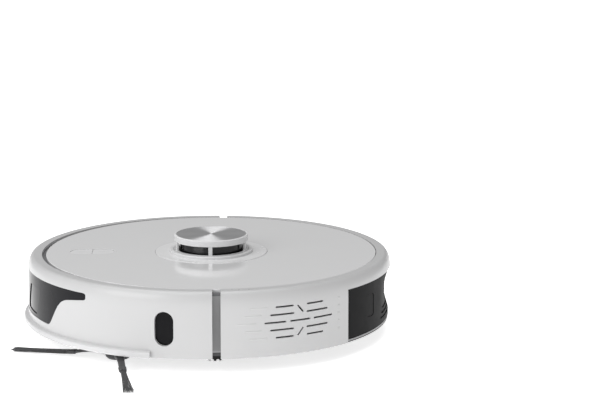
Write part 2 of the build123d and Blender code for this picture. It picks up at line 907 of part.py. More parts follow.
# ---- main brush ----
brush_box_top = roller_height + roller_radius + roller_room + brush_box_wall
neck_back_x = bin_front_x + 0.5
with BuildPart() as brush_housing:
    add(
        block(
            brush_box_back, brush_box_front, -brush_box_half, brush_box_half, floor_top, brush_box_top
        ).part
    )
    add(
        block(
            brush_box_back + brush_box_wall,
            brush_box_front - brush_box_wall,
            -roller_half - roller_end_room,
            roller_half + roller_end_room,
            floor_top,
            brush_box_top - brush_box_wall,
        ).part,
        mode=Mode.SUBTRACT,
    )
    # the neck that leads the dust back to the bin
    add(
        block(
            neck_back_x,
            brush_box_back,
            -intake_half,
            intake_half,
            intake_bottom - duct_wall,
            intake_top + duct_wall,
        ).part
    )
    add(
        block(
            neck_back_x,
            brush_box_back + brush_box_wall,
            -intake_half + duct_wall,
            intake_half - duct_wall,
            intake_bottom,
            intake_top,
        ).part,
        mode=Mode.SUBTRACT,
    )
    for side in (1, -1):
        journal = Plane(
            origin=(roller_x, side * (roller_half + roller_end_room), roller_height), z_dir=(0, side, 0)
        )
        with BuildSketch(journal):
            Circle(journal_radius + running_clearance)
        extrude(amount=journal_length, mode=Mode.SUBTRACT)
pieces["brush_housing"] = brush_housing

with BuildPart() as roller_core:
    with BuildSketch(Plane(origin=(roller_x, -roller_half, roller_height), z_dir=(0, 1, 0))):
        Circle(roller_core_radius)
    extrude(amount=2 * roller_half)
    shaft_half = brush_box_half - 0.4
    with BuildSketch(Plane(origin=(roller_x, -shaft_half, roller_height), z_dir=(0, 1, 0))):
        Circle(journal_radius)
    extrude(amount=2 * shaft_half)
pieces["roller_core"] = roller_core

with BuildPart() as roller_fins:
    with BuildSketch(Plane(origin=(roller_x, -roller_half + 1, roller_height), z_dir=(0, 1, 0))):
        Circle(roller_core_radius + 1.5)
        with PolarLocations((roller_core_radius + roller_radius) / 2, roller_fins_count):
            Rectangle(roller_radius - roller_core_radius, fin_thickness)
        Circle(roller_core_radius, mode=Mode.SUBTRACT)
    extrude(amount=2 * roller_half - 2)
pieces["roller_fins"] = roller_fins

with BuildPart() as brush_guard:
    guard_half = brush_box_half
    add(
        block(
            brush_box_back - guard_margin,
            brush_box_front + guard_margin,
            -guard_half,
            guard_half,
            body_bottom - guard_drop,
            body_bottom,
        ).part
    )
    add(
        block(
            brush_box_back + brush_box_wall,
            brush_box_front - brush_box_wall,
            -roller_half - 2,
            roller_half + 2,
            body_bottom - guard_drop,
            body_bottom,
        ).part,
        mode=Mode.SUBTRACT,
    )
    chamfer(brush_guard.faces().sort_by(Axis.Z)[0].outer_wire().edges(), 1.2)
pieces["brush_guard"] = brush_guard

with BuildPart() as brush_motor:
    with BuildSketch(Plane(origin=(0, -brush_box_half + 8, floor_top + 16), z_dir=(0, 1, 0))):
        Circle(14)
    extrude(amount=46)
    add(
        block(
            brush_box_front + 0.2, 14, -brush_box_half + 2, -brush_box_half + 10, floor_top, floor_top + 26
        ).part
    )
    add(block(-12, 12, -brush_box_half + 16, -brush_box_half + 48, floor_top, floor_top + 8).part)
pieces["brush_motor"] = brush_motor

# ---- side brush ----
hub_bottom = side_brush_hub_bottom
with BuildPart() as side_brush_motor:
    add(
        turned_ring(
            0, side_brush_motor_radius, floor_top, floor_top + 26, (side_brush_x, side_brush_y)
        ).part,
    )
    add(turned_ring(0, motor_shaft_radius, hub_bottom + 4, floor_top, (side_brush_x, side_brush_y)).part)
pieces["side_brush_motor"] = side_brush_motor

with BuildPart() as side_brush_hub:
    add(
        turned_ring(
            0, side_brush_hub_radius, hub_bottom, body_bottom - 1.2, (side_brush_x, side_brush_y)
        ).part
    )
    chamfer(side_brush_hub.edges().group_by(Axis.Z)[0], 2)
    add(
        turned_ring(
            0,
            motor_shaft_radius + running_clearance,
            hub_bottom + 3.8,
            body_bottom,
            (side_brush_x, side_brush_y),
        ).part,
        mode=Mode.SUBTRACT,
    )
    add(turned_ring(0, 3.2, 0, hub_bottom + 1.2, (side_brush_x, side_brush_y)).part, mode=Mode.SUBTRACT)
pieces["side_brush_hub"] = side_brush_hub

with BuildPart() as side_brush_screw:
    add(turned_ring(0, 3.0, hub_bottom + 0.2, hub_bottom + 1.2, (side_brush_x, side_brush_y)).part)
pieces["side_brush_screw"] = side_brush_screw


def brush_arm(angle, start, end, start_size, end_size, start_z, end_z):
    """A tapered arm that leaves the side brush hub and dips towards the floor."""
    direction = Vector(cos(radians(angle)), sin(radians(angle)), 0)
    first = Vector(side_brush_x, side_brush_y, start_z) + direction * start
    last = Vector(side_brush_x, side_brush_y, end_z) + direction * end
    across = Vector(-direction.Y, direction.X, 0)
    with BuildPart() as arm:
        with BuildSketch(Plane(origin=first, x_dir=across, z_dir=last - first)):
            Ellipse(start_size[0] / 2, start_size[1] / 2)
        with BuildSketch(Plane(origin=last, x_dir=across, z_dir=last - first)):
            Ellipse(end_size[0] / 2, end_size[1] / 2)
        loft()
    return arm


arm_angles = [
    side_brush_first_angle + i * 360 / side_brush_arms_count for i in range(side_brush_arms_count)
]
with BuildPart() as side_brush_arms:
    for angle in arm_angles:
        add(
            brush_arm(
                angle, side_brush_hub_radius - 0.5, side_brush_arm, (9, 4.6), (6, 3.4), 8.5, 5.0
            ).part
        )
    add(
        turned_ring(0, side_brush_hub_radius, 0, body_bottom, (side_brush_x, side_brush_y)).part,
        mode=Mode.SUBTRACT,
    )
pieces["side_brush_arms"] = side_brush_arms

with BuildPart() as side_brush_bristles:
    for angle in arm_angles:
        add(
            brush_arm(
                angle, side_brush_arm + 0.2, side_brush_reach, (4.5, 2.6), (9.0, 1.6), 5.0, 1.8
            ).part
        )
pieces["side_brush_bristles"] = side_brush_bristles

# ---- caster ----
cavity_top = 2 * caster_radius + caster_head_room
with BuildPart() as caster_socket:
    add(turned_ring(caster_cavity, caster_cavity + 2, floor_top, cavity_top + 2, (caster_x, 0)).part)
    add(turned_ring(0, caster_cavity + 2, cavity_top, cavity_top + 2, (caster_x, 0)).part)
    add(
        turned_ring(
            0, caster_stem_radius + 3, cavity_top, cavity_top + caster_stem_length + 1, (caster_x, 0)
        ).part,
    )
    add(
        turned_ring(
            0,
            caster_stem_radius + running_clearance,
            cavity_top,
            cavity_top + caster_stem_length,
            (caster_x, 0),
        ).part,
        mode=Mode.SUBTRACT,
    )
pieces["caster_socket"] = caster_socket

caster_axle_x = caster_x - caster_trail
with BuildPart() as caster_fork:
    add(turned_ring(0, caster_cavity - 1.2, cavity_top - 3.4, cavity_top - 0.4, (caster_x, 0)).part)
    add(
        turned_ring(
            0, caster_stem_radius, cavity_top - 1, cavity_top + caster_stem_length - 0.4, (caster_x, 0)
        ).part,
    )
    for side in (1, -1):
        cheek_plane = Plane(
            origin=(caster_axle_x, side * (caster_width / 2 + cheek_gap), caster_radius), z_dir=(0, side, 0)
        )
        with BuildSketch(cheek_plane):
            Circle(cheek_radius)
        extrude(amount=cheek_thickness)
        add(
            block(
                caster_axle_x - cheek_radius,
                caster_axle_x + cheek_radius,
                side * (caster_width / 2 + cheek_gap),
                side * (caster_width / 2 + cheek_gap + cheek_thickness),
                caster_radius,
                cavity_top - 2,
            ).part
        )
    with BuildSketch(Plane(origin=(caster_axle_x, -caster_width, caster_radius), z_dir=(0, 1, 0))):
        Circle(caster_axle_radius + 0.02)
    extrude(amount=2 * caster_width, mode=Mode.SUBTRACT)
pieces["caster_fork"] = caster_fork

with BuildPart() as caster_axle:
    axle_half = caster_width / 2 + cheek_gap + cheek_thickness
    with BuildSketch(Plane(origin=(caster_axle_x, -axle_half, caster_radius), z_dir=(0, 1, 0))):
        Circle(caster_axle_radius)
    extrude(amount=2 * axle_half)
pieces["caster_axle"] = caster_axle

with BuildPart() as caster_wheel:
    with BuildSketch(Plane(origin=(caster_axle_x, -caster_width / 2, caster_radius), z_dir=(0, 1, 0))):
        Circle(caster_radius)
        Circle(caster_axle_radius + running_clearance, mode=Mode.SUBTRACT)
    extrude(amount=caster_width)
    chamfer(
        caster_wheel.edges().filter_by(GeomType.CIRCLE).filter_by(lambda e: e.radius > caster_radius - 1),
        1.5,
    )
pieces["caster_wheel"] = caster_wheel


# ---- drive wheels ----
def wheel_plane(side, distance):
    """A plane across the wheel axle, facing outwards, at a distance from the centre line."""
    return Plane(origin=(wheel_x, side * distance, wheel_radius), x_dir=(1, 0, 0), z_dir=(0, side, 0))


def gearbox(side):
    """The swing arm that holds one wheel's motor and gears."""
    inner_plane = Plane(origin=(0, side * gearbox_inner_y, 0), x_dir=(1, 0, 0), z_dir=(0, side, 0))
    pin_plane = Plane(origin=(pivot_x, side * (gearbox_inner_y - 1), pivot_height), z_dir=(0, side, 0))
    up = -side  # the plane's own second axis points down on the left side and up on the right
    with BuildPart() as arm:
        with BuildSketch(inner_plane):
            with Locations((wheel_x, up * wheel_radius)):
                Circle(gearbox_end_radius)
            with Locations((pivot_x, up * pivot_height)):
                Circle(gearbox_pivot_radius)
            make_hull()
        extrude(amount=gearbox_width)
        with BuildSketch(wheel_plane(side, gearbox_outer_y)):
            Circle(shaft_radius)
        extrude(amount=wheel_width - 2)
        with BuildSketch(pin_plane):
            Circle(pivot_pin_radius + running_clearance)
        extrude(amount=gearbox_width + 2, mode=Mode.SUBTRACT)
    return arm


def wheel_hub(side):
    """The plastic rim with five openings that carries one tyre."""
    rim_radius = wheel_radius - tyre_thickness
    with BuildPart() as hub:
        with BuildSketch(wheel_plane(side, wheel_inner_y)):
            Circle(rim_radius)
            Circle(shaft_radius + running_clearance, mode=Mode.SUBTRACT)
        extrude(amount=wheel_width)
        with BuildSketch(wheel_plane(side, wheel_inner_y + wheel_width - 6)):
            Circle(rim_radius - 2)
            Circle(8, mode=Mode.SUBTRACT)
        extrude(amount=6, mode=Mode.SUBTRACT)
        with BuildSketch(wheel_plane(side, wheel_inner_y + wheel_width - 6)):
            with PolarLocations(17, 5):
                Rectangle(20, 3)
            Circle(rim_radius - 1, mode=Mode.INTERSECT)
            Circle(7, mode=Mode.SUBTRACT)
        extrude(amount=5)
        with BuildSketch(wheel_plane(side, wheel_inner_y + wheel_width - 1.5)):
            Circle(8)
        extrude(amount=1)
    return hub


def tyre(side):
    """One rubber tyre with cross lugs."""
    with BuildPart() as ring:
        with BuildSketch(wheel_plane(side, wheel_inner_y)):
            Circle(wheel_radius - lug_depth)
            Circle(wheel_radius - tyre_thickness, mode=Mode.SUBTRACT)
        extrude(amount=wheel_width)
        with BuildSketch(wheel_plane(side, wheel_inner_y + 0.5)):
            with PolarLocations(wheel_radius - lug_depth, lug_count):
                Rectangle(4 * lug_depth, lug_width)
            Circle(wheel_radius, mode=Mode.INTERSECT)
            Circle(wheel_radius - lug_depth, mode=Mode.SUBTRACT)
        extrude(amount=wheel_width - 1)
    return ring


for side, name in ((1, "left"), (-1, "right")):
    pieces[name + "_gearbox"] = gearbox(side)
    pieces[name + "_wheel_hub"] = wheel_hub(side)
    pieces[name + "_tyre"] = tyre(side)

spring_y = ear_y + ear_thickness
pin_start = well_inner_y - boss_height
pin_end = spring_y + coil_length + 1
with BuildPart() as suspension_pins:
    for side in (1, -1):
        with BuildSketch(Plane(origin=(pivot_x, side * pin_start, pivot_height), z_dir=(0, side, 0))):
            Circle(pivot_pin_radius)
        extrude(amount=pin_end - pin_start)
pieces["suspension_pins"] = suspension_pins

with BuildPart() as suspension_springs:
    leg_bottom = pivot_height - gearbox_pivot_radius - 8
    for side in (1, -1):
        coil_plane = Plane(origin=(pivot_x, side * spring_y, pivot_height), z_dir=(0, side, 0))
        with BuildSketch(coil_plane):
            Circle(pivot_pin_radius + seat_gap + coil_wall)
        extrude(amount=coil_length)
        leg_x = pivot_x + pivot_pin_radius
        add(
            block(
                leg_x, leg_x + 1.6, side * spring_y, side * (spring_y + 1.6), leg_bottom, pivot_height
            ).part,
        )
        with BuildSketch(coil_plane):
            Circle(pivot_pin_radius + seat_gap)
        extrude(amount=coil_length, mode=Mode.SUBTRACT)
pieces["suspension_springs"] = suspension_springs

# ---- dustbin ----
filter_x0 = bin_front_x - bin_wall - 0.2
with BuildPart() as dustbin_body:
    inner_front = bin_front_x - bin_wall
    add(
        block(
            -2 * body_radius, bin_front_x, -bin_half_width, bin_half_width, bin_bottom, bin_top - bin_wall
        ).part
    )
    with BuildSketch(Plane.XY):
        Circle(bin_back_radius)
    extrude(amount=plate_top, mode=Mode.INTERSECT)
    add(
        block(
            -2 * body_radius,
            inner_front,
            -bin_half_width + bin_wall,
            bin_half_width - bin_wall,
            bin_bottom + bin_wall,
            bin_top,
        ).part,
        mode=Mode.SUBTRACT,
    )
    add(
        block(
            inner_front,
            bin_front_x,
            -intake_half + duct_wall,
            intake_half - duct_wall,
            intake_bottom,
            intake_top,
        ).part,
        mode=Mode.SUBTRACT,
    )
    add(
        block(
            inner_front,
            bin_front_x,
            fan_y - duct_half + duct_wall,
            fan_y + duct_half - duct_wall,
            duct_bottom + duct_wall,
            fan_top - duct_wall,
        ).part,
        mode=Mode.SUBTRACT,
    )
pieces["dustbin_body"] = dustbin_body

with BuildPart() as dustbin_lid:
    add(
        block(
            -2 * body_radius, bin_front_x, -bin_half_width, bin_half_width, bin_top - bin_wall, bin_top
        ).part
    )
    with BuildSketch(Plane.XY):
        Circle(bin_back_radius)
    extrude(amount=plate_top, mode=Mode.INTERSECT)
pieces["dustbin_lid"] = dustbin_lid

face_half = rear_half_width - bin_clearance
face_top = body_bottom + rear_top_rise - bin_clearance
face_mid = (bin_bottom + face_top) / 2 + 1
def face_recess(width, height, corner, depth):
    """A rounded rectangular step cut a set depth into the curved rear face."""
    with BuildPart() as cutter:
        add(turned_ring(bin_face_radius - depth, body_radius + 10, 0, plate_top).part)
        with BuildSketch(Plane.YZ.offset(-2 * body_radius)):
            with Locations((0, face_mid)):
                RectangleRounded(width, height, corner)
        extrude(amount=2 * body_radius - 100, mode=Mode.INTERSECT)
    return cutter


with BuildPart() as dustbin_face:
    add(turned_ring(bin_back_radius, bin_face_radius, bin_bottom, face_top).part)
    add(
        block(-2 * body_radius, -100, -face_half, face_half, bin_bottom, face_top).part,
        mode=Mode.INTERSECT,
    )
    for step in range(port_steps):
        add(
            face_recess(
                port_surround_width - step * port_step_inset * 2,
                port_surround_height - step * port_step_inset,
                port_surround_corner,
                (step + 1) * port_step_depth,
            ).part,
            mode=Mode.SUBTRACT,
        )
    with BuildSketch(Plane.YZ.offset(-2 * body_radius)):
        with Locations((0, face_mid)):
            RectangleRounded(port_width, port_height, port_corner)
        with Locations((latch_y, face_mid)):
            RectangleRounded(latch_width + 2 * latch_gap, latch_height + 2 * latch_gap, latch_corner)
    extrude(amount=2 * body_radius - 100, mode=Mode.SUBTRACT)
pieces["dustbin_face"] = dustbin_face

latch_face_radius = bin_face_radius - 0.4
with BuildPart() as bin_latch:
    with BuildSketch(Plane.YZ.offset(-2 * body_radius)):
        with Locations((latch_y, face_mid)):
            RectangleRounded(latch_width, latch_height, latch_corner - latch_gap)
    extrude(amount=2 * body_radius - 100)
    with BuildSketch(Plane.XY):
        Circle(latch_face_radius)
    extrude(amount=plate_top, mode=Mode.INTERSECT)
    with BuildSketch(Plane.XY):
        Circle(latch_face_radius - face_thickness + latch_travel + 0.8)
    extrude(amount=plate_top, mode=Mode.SUBTRACT)
pieces["bin_latch"] = bin_latch

flap_half = port_width / 2 + flap_overlap
flap_x = -sqrt(bin_back_radius**2 - flap_half**2) + seat_gap
with BuildPart() as evac_flap:
    with BuildSketch(Plane.YZ.offset(flap_x)):
        with Locations((0, face_mid)):
            RectangleRounded(2 * flap_half, port_height + 2 * flap_overlap, port_corner)
    extrude(amount=flap_thickness)
pieces["evac_flap"] = evac_flap

filter_bottom = intake_top + 2
filter_top = bin_top - bin_wall - 0.2
with BuildPart() as filter_frame:
    add(
        block(
            filter_x0 - filter_depth,
            filter_x0,
            fan_y - filter_half,
            fan_y + filter_half,
            filter_bottom,
            filter_top,
        ).part,
    )
    media_half = filter_half - filter_border
    add(
        block(
            filter_x0 - filter_depth,
            filter_x0,
            fan_y - media_half,
            fan_y + media_half,
            filter_bottom + filter_border,
            filter_top - filter_border,
        ).part,
        mode=Mode.SUBTRACT,
    )
pieces["filter_frame"] = filter_frame

with BuildPart() as filter_media:
    pleat = 2 * (media_half - 0.2) / filter_pleats
    media_bottom = filter_bottom + filter_border + 0.2
    media_top = filter_top - filter_border - 0.2
    media_x = filter_x0 - filter_depth / 2
    for i in range(filter_pleats):
        pleat_y = fan_y - media_half + 0.2 + (i + 0.5) * pleat
        add(
            block(
                filter_x0 - filter_depth + 1,
                filter_x0 - 1,
                pleat_y - pleat / 4,
                pleat_y + pleat / 4,
                media_bottom,
                media_top,
            ).part
        )
    add(
        block(
            media_x - 0.5,
            media_x + 0.5,
            fan_y - media_half + 0.2,
            fan_y + media_half - 0.2,
            media_bottom,
            media_top,
        ).part
    )
pieces["filter_media"] = filter_media

# ---- small fittings ----
speaker_top = floor_top + 26
with BuildPart() as speaker:
    add(block(speaker_x - 13, speaker_x + 13, speaker_y - 12, speaker_y + 12, floor_top, speaker_top).part)
    with BuildSketch(Plane.XY.offset(speaker_top - 6)):
        with Locations((speaker_x, speaker_y)):
            Circle(10)
    extrude(amount=6, mode=Mode.SUBTRACT)
pieces["speaker"] = speaker

cliff_radius = inner_wall_radius - edge_rise - cliff_inset
with BuildPart() as cliff_sensors:
    with BuildSketch(Plane.XY.offset(body_bottom - foot_relief)):
        for angle in (15, 62, -15, -62, 172, -172):
            with Locations((cliff_radius * cos(radians(angle)), cliff_radius * sin(radians(angle)))):
                SlotOverall(15, 7, rotation=angle + 90)
    extrude(amount=foot_relief)
pieces["cliff_sensors"] = cliff_sensors

with BuildPart() as charge_contacts:
    with BuildSketch(Plane.XY.offset(body_bottom - foot_relief)):
        with Locations((contact_x, contact_y), (contact_x, -contact_y)):
            SlotOverall(26, 10, rotation=90)
    extrude(amount=foot_relief)
pieces["charge_contacts"] = charge_contacts

with BuildPart() as chassis_screws:
    with BuildSketch(Plane.XY.offset(body_bottom - 0.6)):
        for screw_x, screw_y in ((78, 88), (-80, 118), (-140, 60), (10, 80)):
            with Locations((screw_x, screw_y), (screw_x, -screw_y)):
                Circle(3.4)
    extrude(amount=0.6)
pieces["chassis_screws"] = chassis_screws

os.makedirs("parts", exist_ok=True)
for name, piece in pieces.items():
    piece.part.label = name
    export_step(piece.part, f"parts/{name}.step")
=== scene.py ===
"""Looks of a round robot vacuum with a lidar tower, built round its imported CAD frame."""

import math

import bmesh
import bpy
from mathutils import Matrix, Vector


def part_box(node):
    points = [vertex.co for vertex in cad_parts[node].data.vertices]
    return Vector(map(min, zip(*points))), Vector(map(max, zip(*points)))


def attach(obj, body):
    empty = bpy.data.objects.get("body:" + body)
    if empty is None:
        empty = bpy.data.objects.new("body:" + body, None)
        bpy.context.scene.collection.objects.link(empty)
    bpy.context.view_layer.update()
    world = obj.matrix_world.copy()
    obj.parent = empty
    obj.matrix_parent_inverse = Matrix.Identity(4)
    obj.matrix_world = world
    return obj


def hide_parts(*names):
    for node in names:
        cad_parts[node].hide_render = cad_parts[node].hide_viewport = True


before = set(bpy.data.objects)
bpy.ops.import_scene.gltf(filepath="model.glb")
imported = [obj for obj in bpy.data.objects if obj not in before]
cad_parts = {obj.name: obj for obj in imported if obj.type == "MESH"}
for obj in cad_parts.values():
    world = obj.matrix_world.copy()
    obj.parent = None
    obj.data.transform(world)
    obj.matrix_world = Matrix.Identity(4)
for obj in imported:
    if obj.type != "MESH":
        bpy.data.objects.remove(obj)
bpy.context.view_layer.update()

bl_info = {
    "name": "Robot Vacuum Looks",
    "version": (1, 0, 0),
    "blender": (4, 5, 0),
    "location": "View3D > Sidebar > Robot Vacuum",
    "description": "Finishes, fine pieces and a soft studio for a robot vacuum",
    "category": "Object",
}

MM = 0.001


def box_centre(node):
    """Middle of a CAD node's box, in metres."""
    low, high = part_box(node)
    return (Vector(low) + Vector(high)) / 2


def box_size(node):
    """Length, width and height of a CAD node's box, in metres."""
    low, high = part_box(node)
    return Vector(high) - Vector(low)


# ---- node trees ----
class Wire:
    """One output of a node. Arithmetic on it adds Math nodes to its tree."""

    def __init__(self, graph, socket):
        self.graph = graph
        self.socket = socket

    def math(self, operation, *values, clamp=False):
        """A Math node on the given numbers or wires."""
        settings = {"operation": operation, "use_clamp": clamp}
        return self.graph.node("ShaderNodeMath", settings, dict(enumerate(values)))

    def __add__(self, other):
        return self.math("ADD", self, other)

    def __sub__(self, other):
        return self.math("SUBTRACT", self, other)

    def __rsub__(self, other):
        return self.math("SUBTRACT", other, self)

    def __mul__(self, other):
        return self.math("MULTIPLY", self, other)

    def __rmul__(self, other):
        return self.math("MULTIPLY", other, self)

    def __truediv__(self, other):
        return self.math("DIVIDE", self, other)

    def __pow__(self, other):
        return self.math("POWER", self, other)

    def __abs__(self):
        return self.math("ABSOLUTE", self)

    def above(self, edge):
        """One where the value is over the edge, and nought elsewhere."""
        return self.math("GREATER_THAN", self, edge)

    def clamped(self):
        """The value held between nought and one."""
        return self.math("ADD", self, 0.0, clamp=True)

    def sine(self):
        return self.math("SINE", self)

    def cosine(self):
        return self.math("COSINE", self)


class Graph:
    """A node tree built in code."""

    def __init__(self, tree):
        self.tree = tree

    @staticmethod
    def pick(sockets, key):
        """A socket in use, by its place or its name."""
        in_use = [socket for socket in sockets if socket.enabled]
        if isinstance(key, int):
            return in_use[key]
        for socket in in_use:
            if socket.name == key:
                return socket
        raise KeyError(f"no socket {key!r} among {[socket.name for socket in in_use]}")

    def node(self, kind, settings=None, values=None, output=0):
        """Adds a node: its settings first, then the values or wires of its inputs."""
        made = self.tree.nodes.new(kind)
        for name, value in (settings or {}).items():
            if name == "stops":
                self.set_stops(made.color_ramp, value)
            else:
                setattr(made, name, value)
        for key, value in (values or {}).items():
            self.feed(self.pick(made.inputs, key), value)
        return Wire(self, self.pick(made.outputs, output))

    def feed(self, socket, value):
        """Links a wire, or each wire of a list, to a socket, or sets a plain value on it."""
        if isinstance(value, list):
            for wire in value:
                self.tree.links.new(wire.socket, socket)
        elif isinstance(value, Wire):
            self.tree.links.new(value.socket, socket)
        else:
            socket.default_value = value

    @staticmethod
    def set_stops(ramp, stops):
        """Sets a ramp's stops from pairs of place and grey level."""
        while len(ramp.elements) < len(stops):
            ramp.elements.new(1.0)
        for element, (place, level) in zip(ramp.elements, stops):
            element.position = place
            element.color = (level, level, level, 1.0)


class Finish(Graph):
    """One material: a Principled surface whose pattern reads Object coordinates."""

    def __init__(self, name, **constants):
        self.material = bpy.data.materials.new(name)
        self.material.use_nodes = True
        super().__init__(self.material.node_tree)
        self.tree.nodes.clear()
        self.surface = self.tree.nodes.new("ShaderNodeBsdfPrincipled")
        self.output = self.tree.nodes.new("ShaderNodeOutputMaterial")
        self.tree.links.new(self.surface.outputs["BSDF"], self.output.inputs["Surface"])
        for socket_name, value in constants.items():
            self.surface.inputs[socket_name.replace("_", " ")].default_value = value
        self.place = self.node("ShaderNodeTexCoord", output="Object")

    def axis(self, name):
        """One part of the place on the piece, in metres: X, Y or Z."""
        return self.node("ShaderNodeSeparateXYZ", {}, {0: self.place}, name)

    def noise(self, size, detail=2.0, roughness=0.5, place=None):
        """Soft noise from nought to one whose blobs are about size metres wide."""
        values = {
            "Vector": place or self.place,
            "Scale": 1.0 / size,
            "Detail": detail,
            "Roughness": roughness,
        }
        return self.node("ShaderNodeTexNoise", {}, values, 0)

    def stretched(self, scale):
        """The place with each axis multiplied, for patterns that run along one axis."""
        return self.node("ShaderNodeMapping", {}, {"Vector": self.place, "Scale": scale})

    def mix(self, factor, first, second):
        """A colour between two colours."""
        values = {"Factor": factor, "A": first, "B": second}
        return self.node("ShaderNodeMix", {"data_type": "RGBA"}, values, "Result")

    def paint(self, socket_name, value):
        """Feeds one of the surface's sockets."""
        self.feed(self.surface.inputs[socket_name], value)

    def relief(self, height, depth):
        """Bumps the surface by a height from nought to one that stands for depth metres."""
        values = {"Strength": 1.0, "Distance": depth, "Height": height}
        self.paint("Normal", self.node("ShaderNodeBump", {}, values, "Normal"))


def shade(colour, factor):
    """A colour made darker or lighter, with full alpha."""
    return tuple(min(1.0, part * factor) for part in colour[:3]) + (1.0,)


def moulded(name, colour, roughness, grain, depth, mottle=0.03, wear=0.06, **constants):
    """Moulded plastic: a fine grain, a faint change of tone and of gloss."""
    finish = Finish(name, **constants)
    tone = finish.noise(0.035, 3.0, 0.6)
    finish.paint("Base Color", finish.mix(tone, shade(colour, 1 - mottle), shade(colour, 1 + mottle)))
    gloss = finish.noise(0.012, 4.0, 0.65)
    finish.paint("Roughness", (gloss - 0.5) * (2 * wear) + roughness)
    finish.relief(finish.noise(grain, 2.0, 0.55), depth)
    return finish.material


def hull_black(name, colour, wall_colour, wall_radius, wall_foot):
    """Black chassis plastic whose round outer wall, over its foot, is left pale."""
    finish = Finish(name)
    across, along = finish.axis("X"), finish.axis("Y")
    on_wall = ((across * across + along * along) ** 0.5).above(wall_radius)
    pale = on_wall * finish.axis("Z").above(wall_foot)
    tone = finish.noise(0.035, 3.0, 0.6)
    dark = finish.mix(tone, shade(colour, 0.85), shade(colour, 1.15))
    finish.paint("Base Color", finish.mix(pale, dark, shade(wall_colour, 1.0)))
    finish.paint("Roughness", finish.noise(0.012, 4.0, 0.65) * 0.12 + 0.44)
    finish.relief(finish.noise(0.4 * MM, 2.0, 0.55), 0.03 * MM)
    return finish.material


def rubber(name, colour, grain, depth):
    """Matte rubber with a dusty bloom."""
    finish = Finish(name, Sheen_Weight=0.15, Specular_IOR_Level=0.35)
    bloom = finish.noise(0.006, 4.0, 0.7)
    finish.paint("Base Color", finish.mix(bloom, shade(colour, 0.8), shade(colour, 1.5)))
    finish.paint("Roughness", bloom * 0.25 + 0.55)
    finish.relief(finish.noise(grain, 3.0, 0.6), depth)
    return finish.material


def turned_steel(name, colour, roughness):
    """Bright turned metal with fine tool lines."""
    finish = Finish(name, Metallic=1.0)
    tone = finish.noise(0.004, 3.0)
    finish.paint("Base Color", finish.mix(tone, shade(colour, 0.86), shade(colour, 1.08)))
    lines = finish.noise(0.0004, 2.0, 0.6, finish.stretched((0.25, 1.0, 1.0)))
    finish.paint("Roughness", lines * 0.22 + roughness)
    finish.relief(lines, 0.012 * MM)
    return finish.material


def spun_disc(name, colour):
    """The tower's lid: metal brushed in circles round its centre."""
    finish = Finish(name, Metallic=1.0, Anisotropic=0.95, Anisotropic_Rotation=0.25)
    across, along = finish.axis("X"), finish.axis("Y")
    radius = (across * across + along * along) ** 0.5
    rings = finish.node(
        "ShaderNodeTexNoise",
        {"noise_dimensions": "1D"},
        {"W": radius, "Scale": 2600.0, "Detail": 3.0, "Roughness": 0.6},
    )
    finish.paint("Base Color", finish.mix(rings, shade(colour, 0.93), shade(colour, 1.05)))
    finish.paint("Roughness", rings * 0.1 + 0.3)
    finish.relief(rings, 0.004 * MM)
    return finish.material


def smoked(name, colour, roughness):
    """Polished smoke-grey plastic, nearly opaque, with faint flow marks."""
    finish = Finish(name, Specular_IOR_Level=0.08)
    depth = finish.noise(0.03, 2.0)
    finish.paint("Base Color", finish.mix(depth, shade(colour, 0.7), shade(colour, 1.3)))
    finish.paint("Roughness", finish.noise(0.01, 3.0) * 0.06 + roughness)
    finish.relief(finish.noise(0.02, 1.0), 0.01 * MM)
    return finish.material


def woven_screen(name, colour):
    """A dark woven screen behind the grille."""
    finish = Finish(name, Specular_IOR_Level=0.3)
    pitch = 2 * math.pi / (0.9 * MM)
    warp = ((finish.axis("X") * pitch).sine() * 0.5 + 0.5) ** 2.0
    weft = ((finish.axis("Z") * pitch).sine() * 0.5 + 0.5) ** 2.0
    thread = (warp + weft).clamped()
    finish.paint("Base Color", finish.mix(thread, shade(colour, 0.25), shade(colour, 1.2)))
    finish.paint("Roughness", 0.85 - thread * 0.25)
    finish.relief(thread, 0.15 * MM)
    return finish.material


def solder_mask(name, colour, board_top):
    """A green circuit board; what stands on it is dark plastic."""
    finish = Finish(name, Specular_IOR_Level=0.5)
    step = 2 * math.pi / (2.2 * MM)
    tracks = (((finish.axis("X") + finish.axis("Y")) * step).sine()).above(0.55)
    dark = finish.axis("Z").above(board_top)
    board = finish.mix(tracks * 0.6, shade(colour, 0.9), shade(colour, 2.0))
    finish.paint("Base Color", finish.mix(dark, board, (0.012, 0.012, 0.013, 1.0)))
    finish.paint("Roughness", dark * 0.2 + 0.32)
    finish.relief(tracks, 0.03 * MM)
    return finish.material


def wrapped_cells(name, colour):
    """Battery cells in shrink wrap, creased a little."""
    finish = Finish(name, Coat_Weight=0.3, Coat_Roughness=0.2)
    crease = finish.noise(0.005, 4.0, 0.6, finish.stretched((1.0, 0.3, 1.0)))
    finish.paint("Base Color", finish.mix(crease, shade(colour, 0.8), shade(colour, 1.25)))
    finish.paint("Roughness", crease * 0.2 + 0.28)
    finish.relief(crease, 0.08 * MM)
    return finish.material


def pleated_paper(name, colour):
    """Filter paper with fibres."""
    finish = Finish(name, Sheen_Weight=0.2)
    fibres = finish.noise(0.0007, 6.0, 0.75)
    finish.paint("Base Color", finish.mix(fibres, shade(colour, 0.84), shade(colour, 1.06)))
    finish.paint("Roughness", fibres * 0.1 + 0.85)
    finish.relief(fibres, 0.12 * MM)
    return finish.material


def strands(name, colour):
    """Nylon bristles, lighter and darker in small patches."""
    finish = Finish(name, Sheen_Weight=0.1, Specular_IOR_Level=0.45)
    drift = finish.noise(0.0012, 3.0, 0.6)
    finish.paint("Base Color", finish.mix(drift, shade(colour, 0.6), shade(colour, 2.2)))
    finish.paint("Roughness", drift * 0.2 + 0.35)
    finish.relief(drift, 0.02 * MM)
    return finish.material


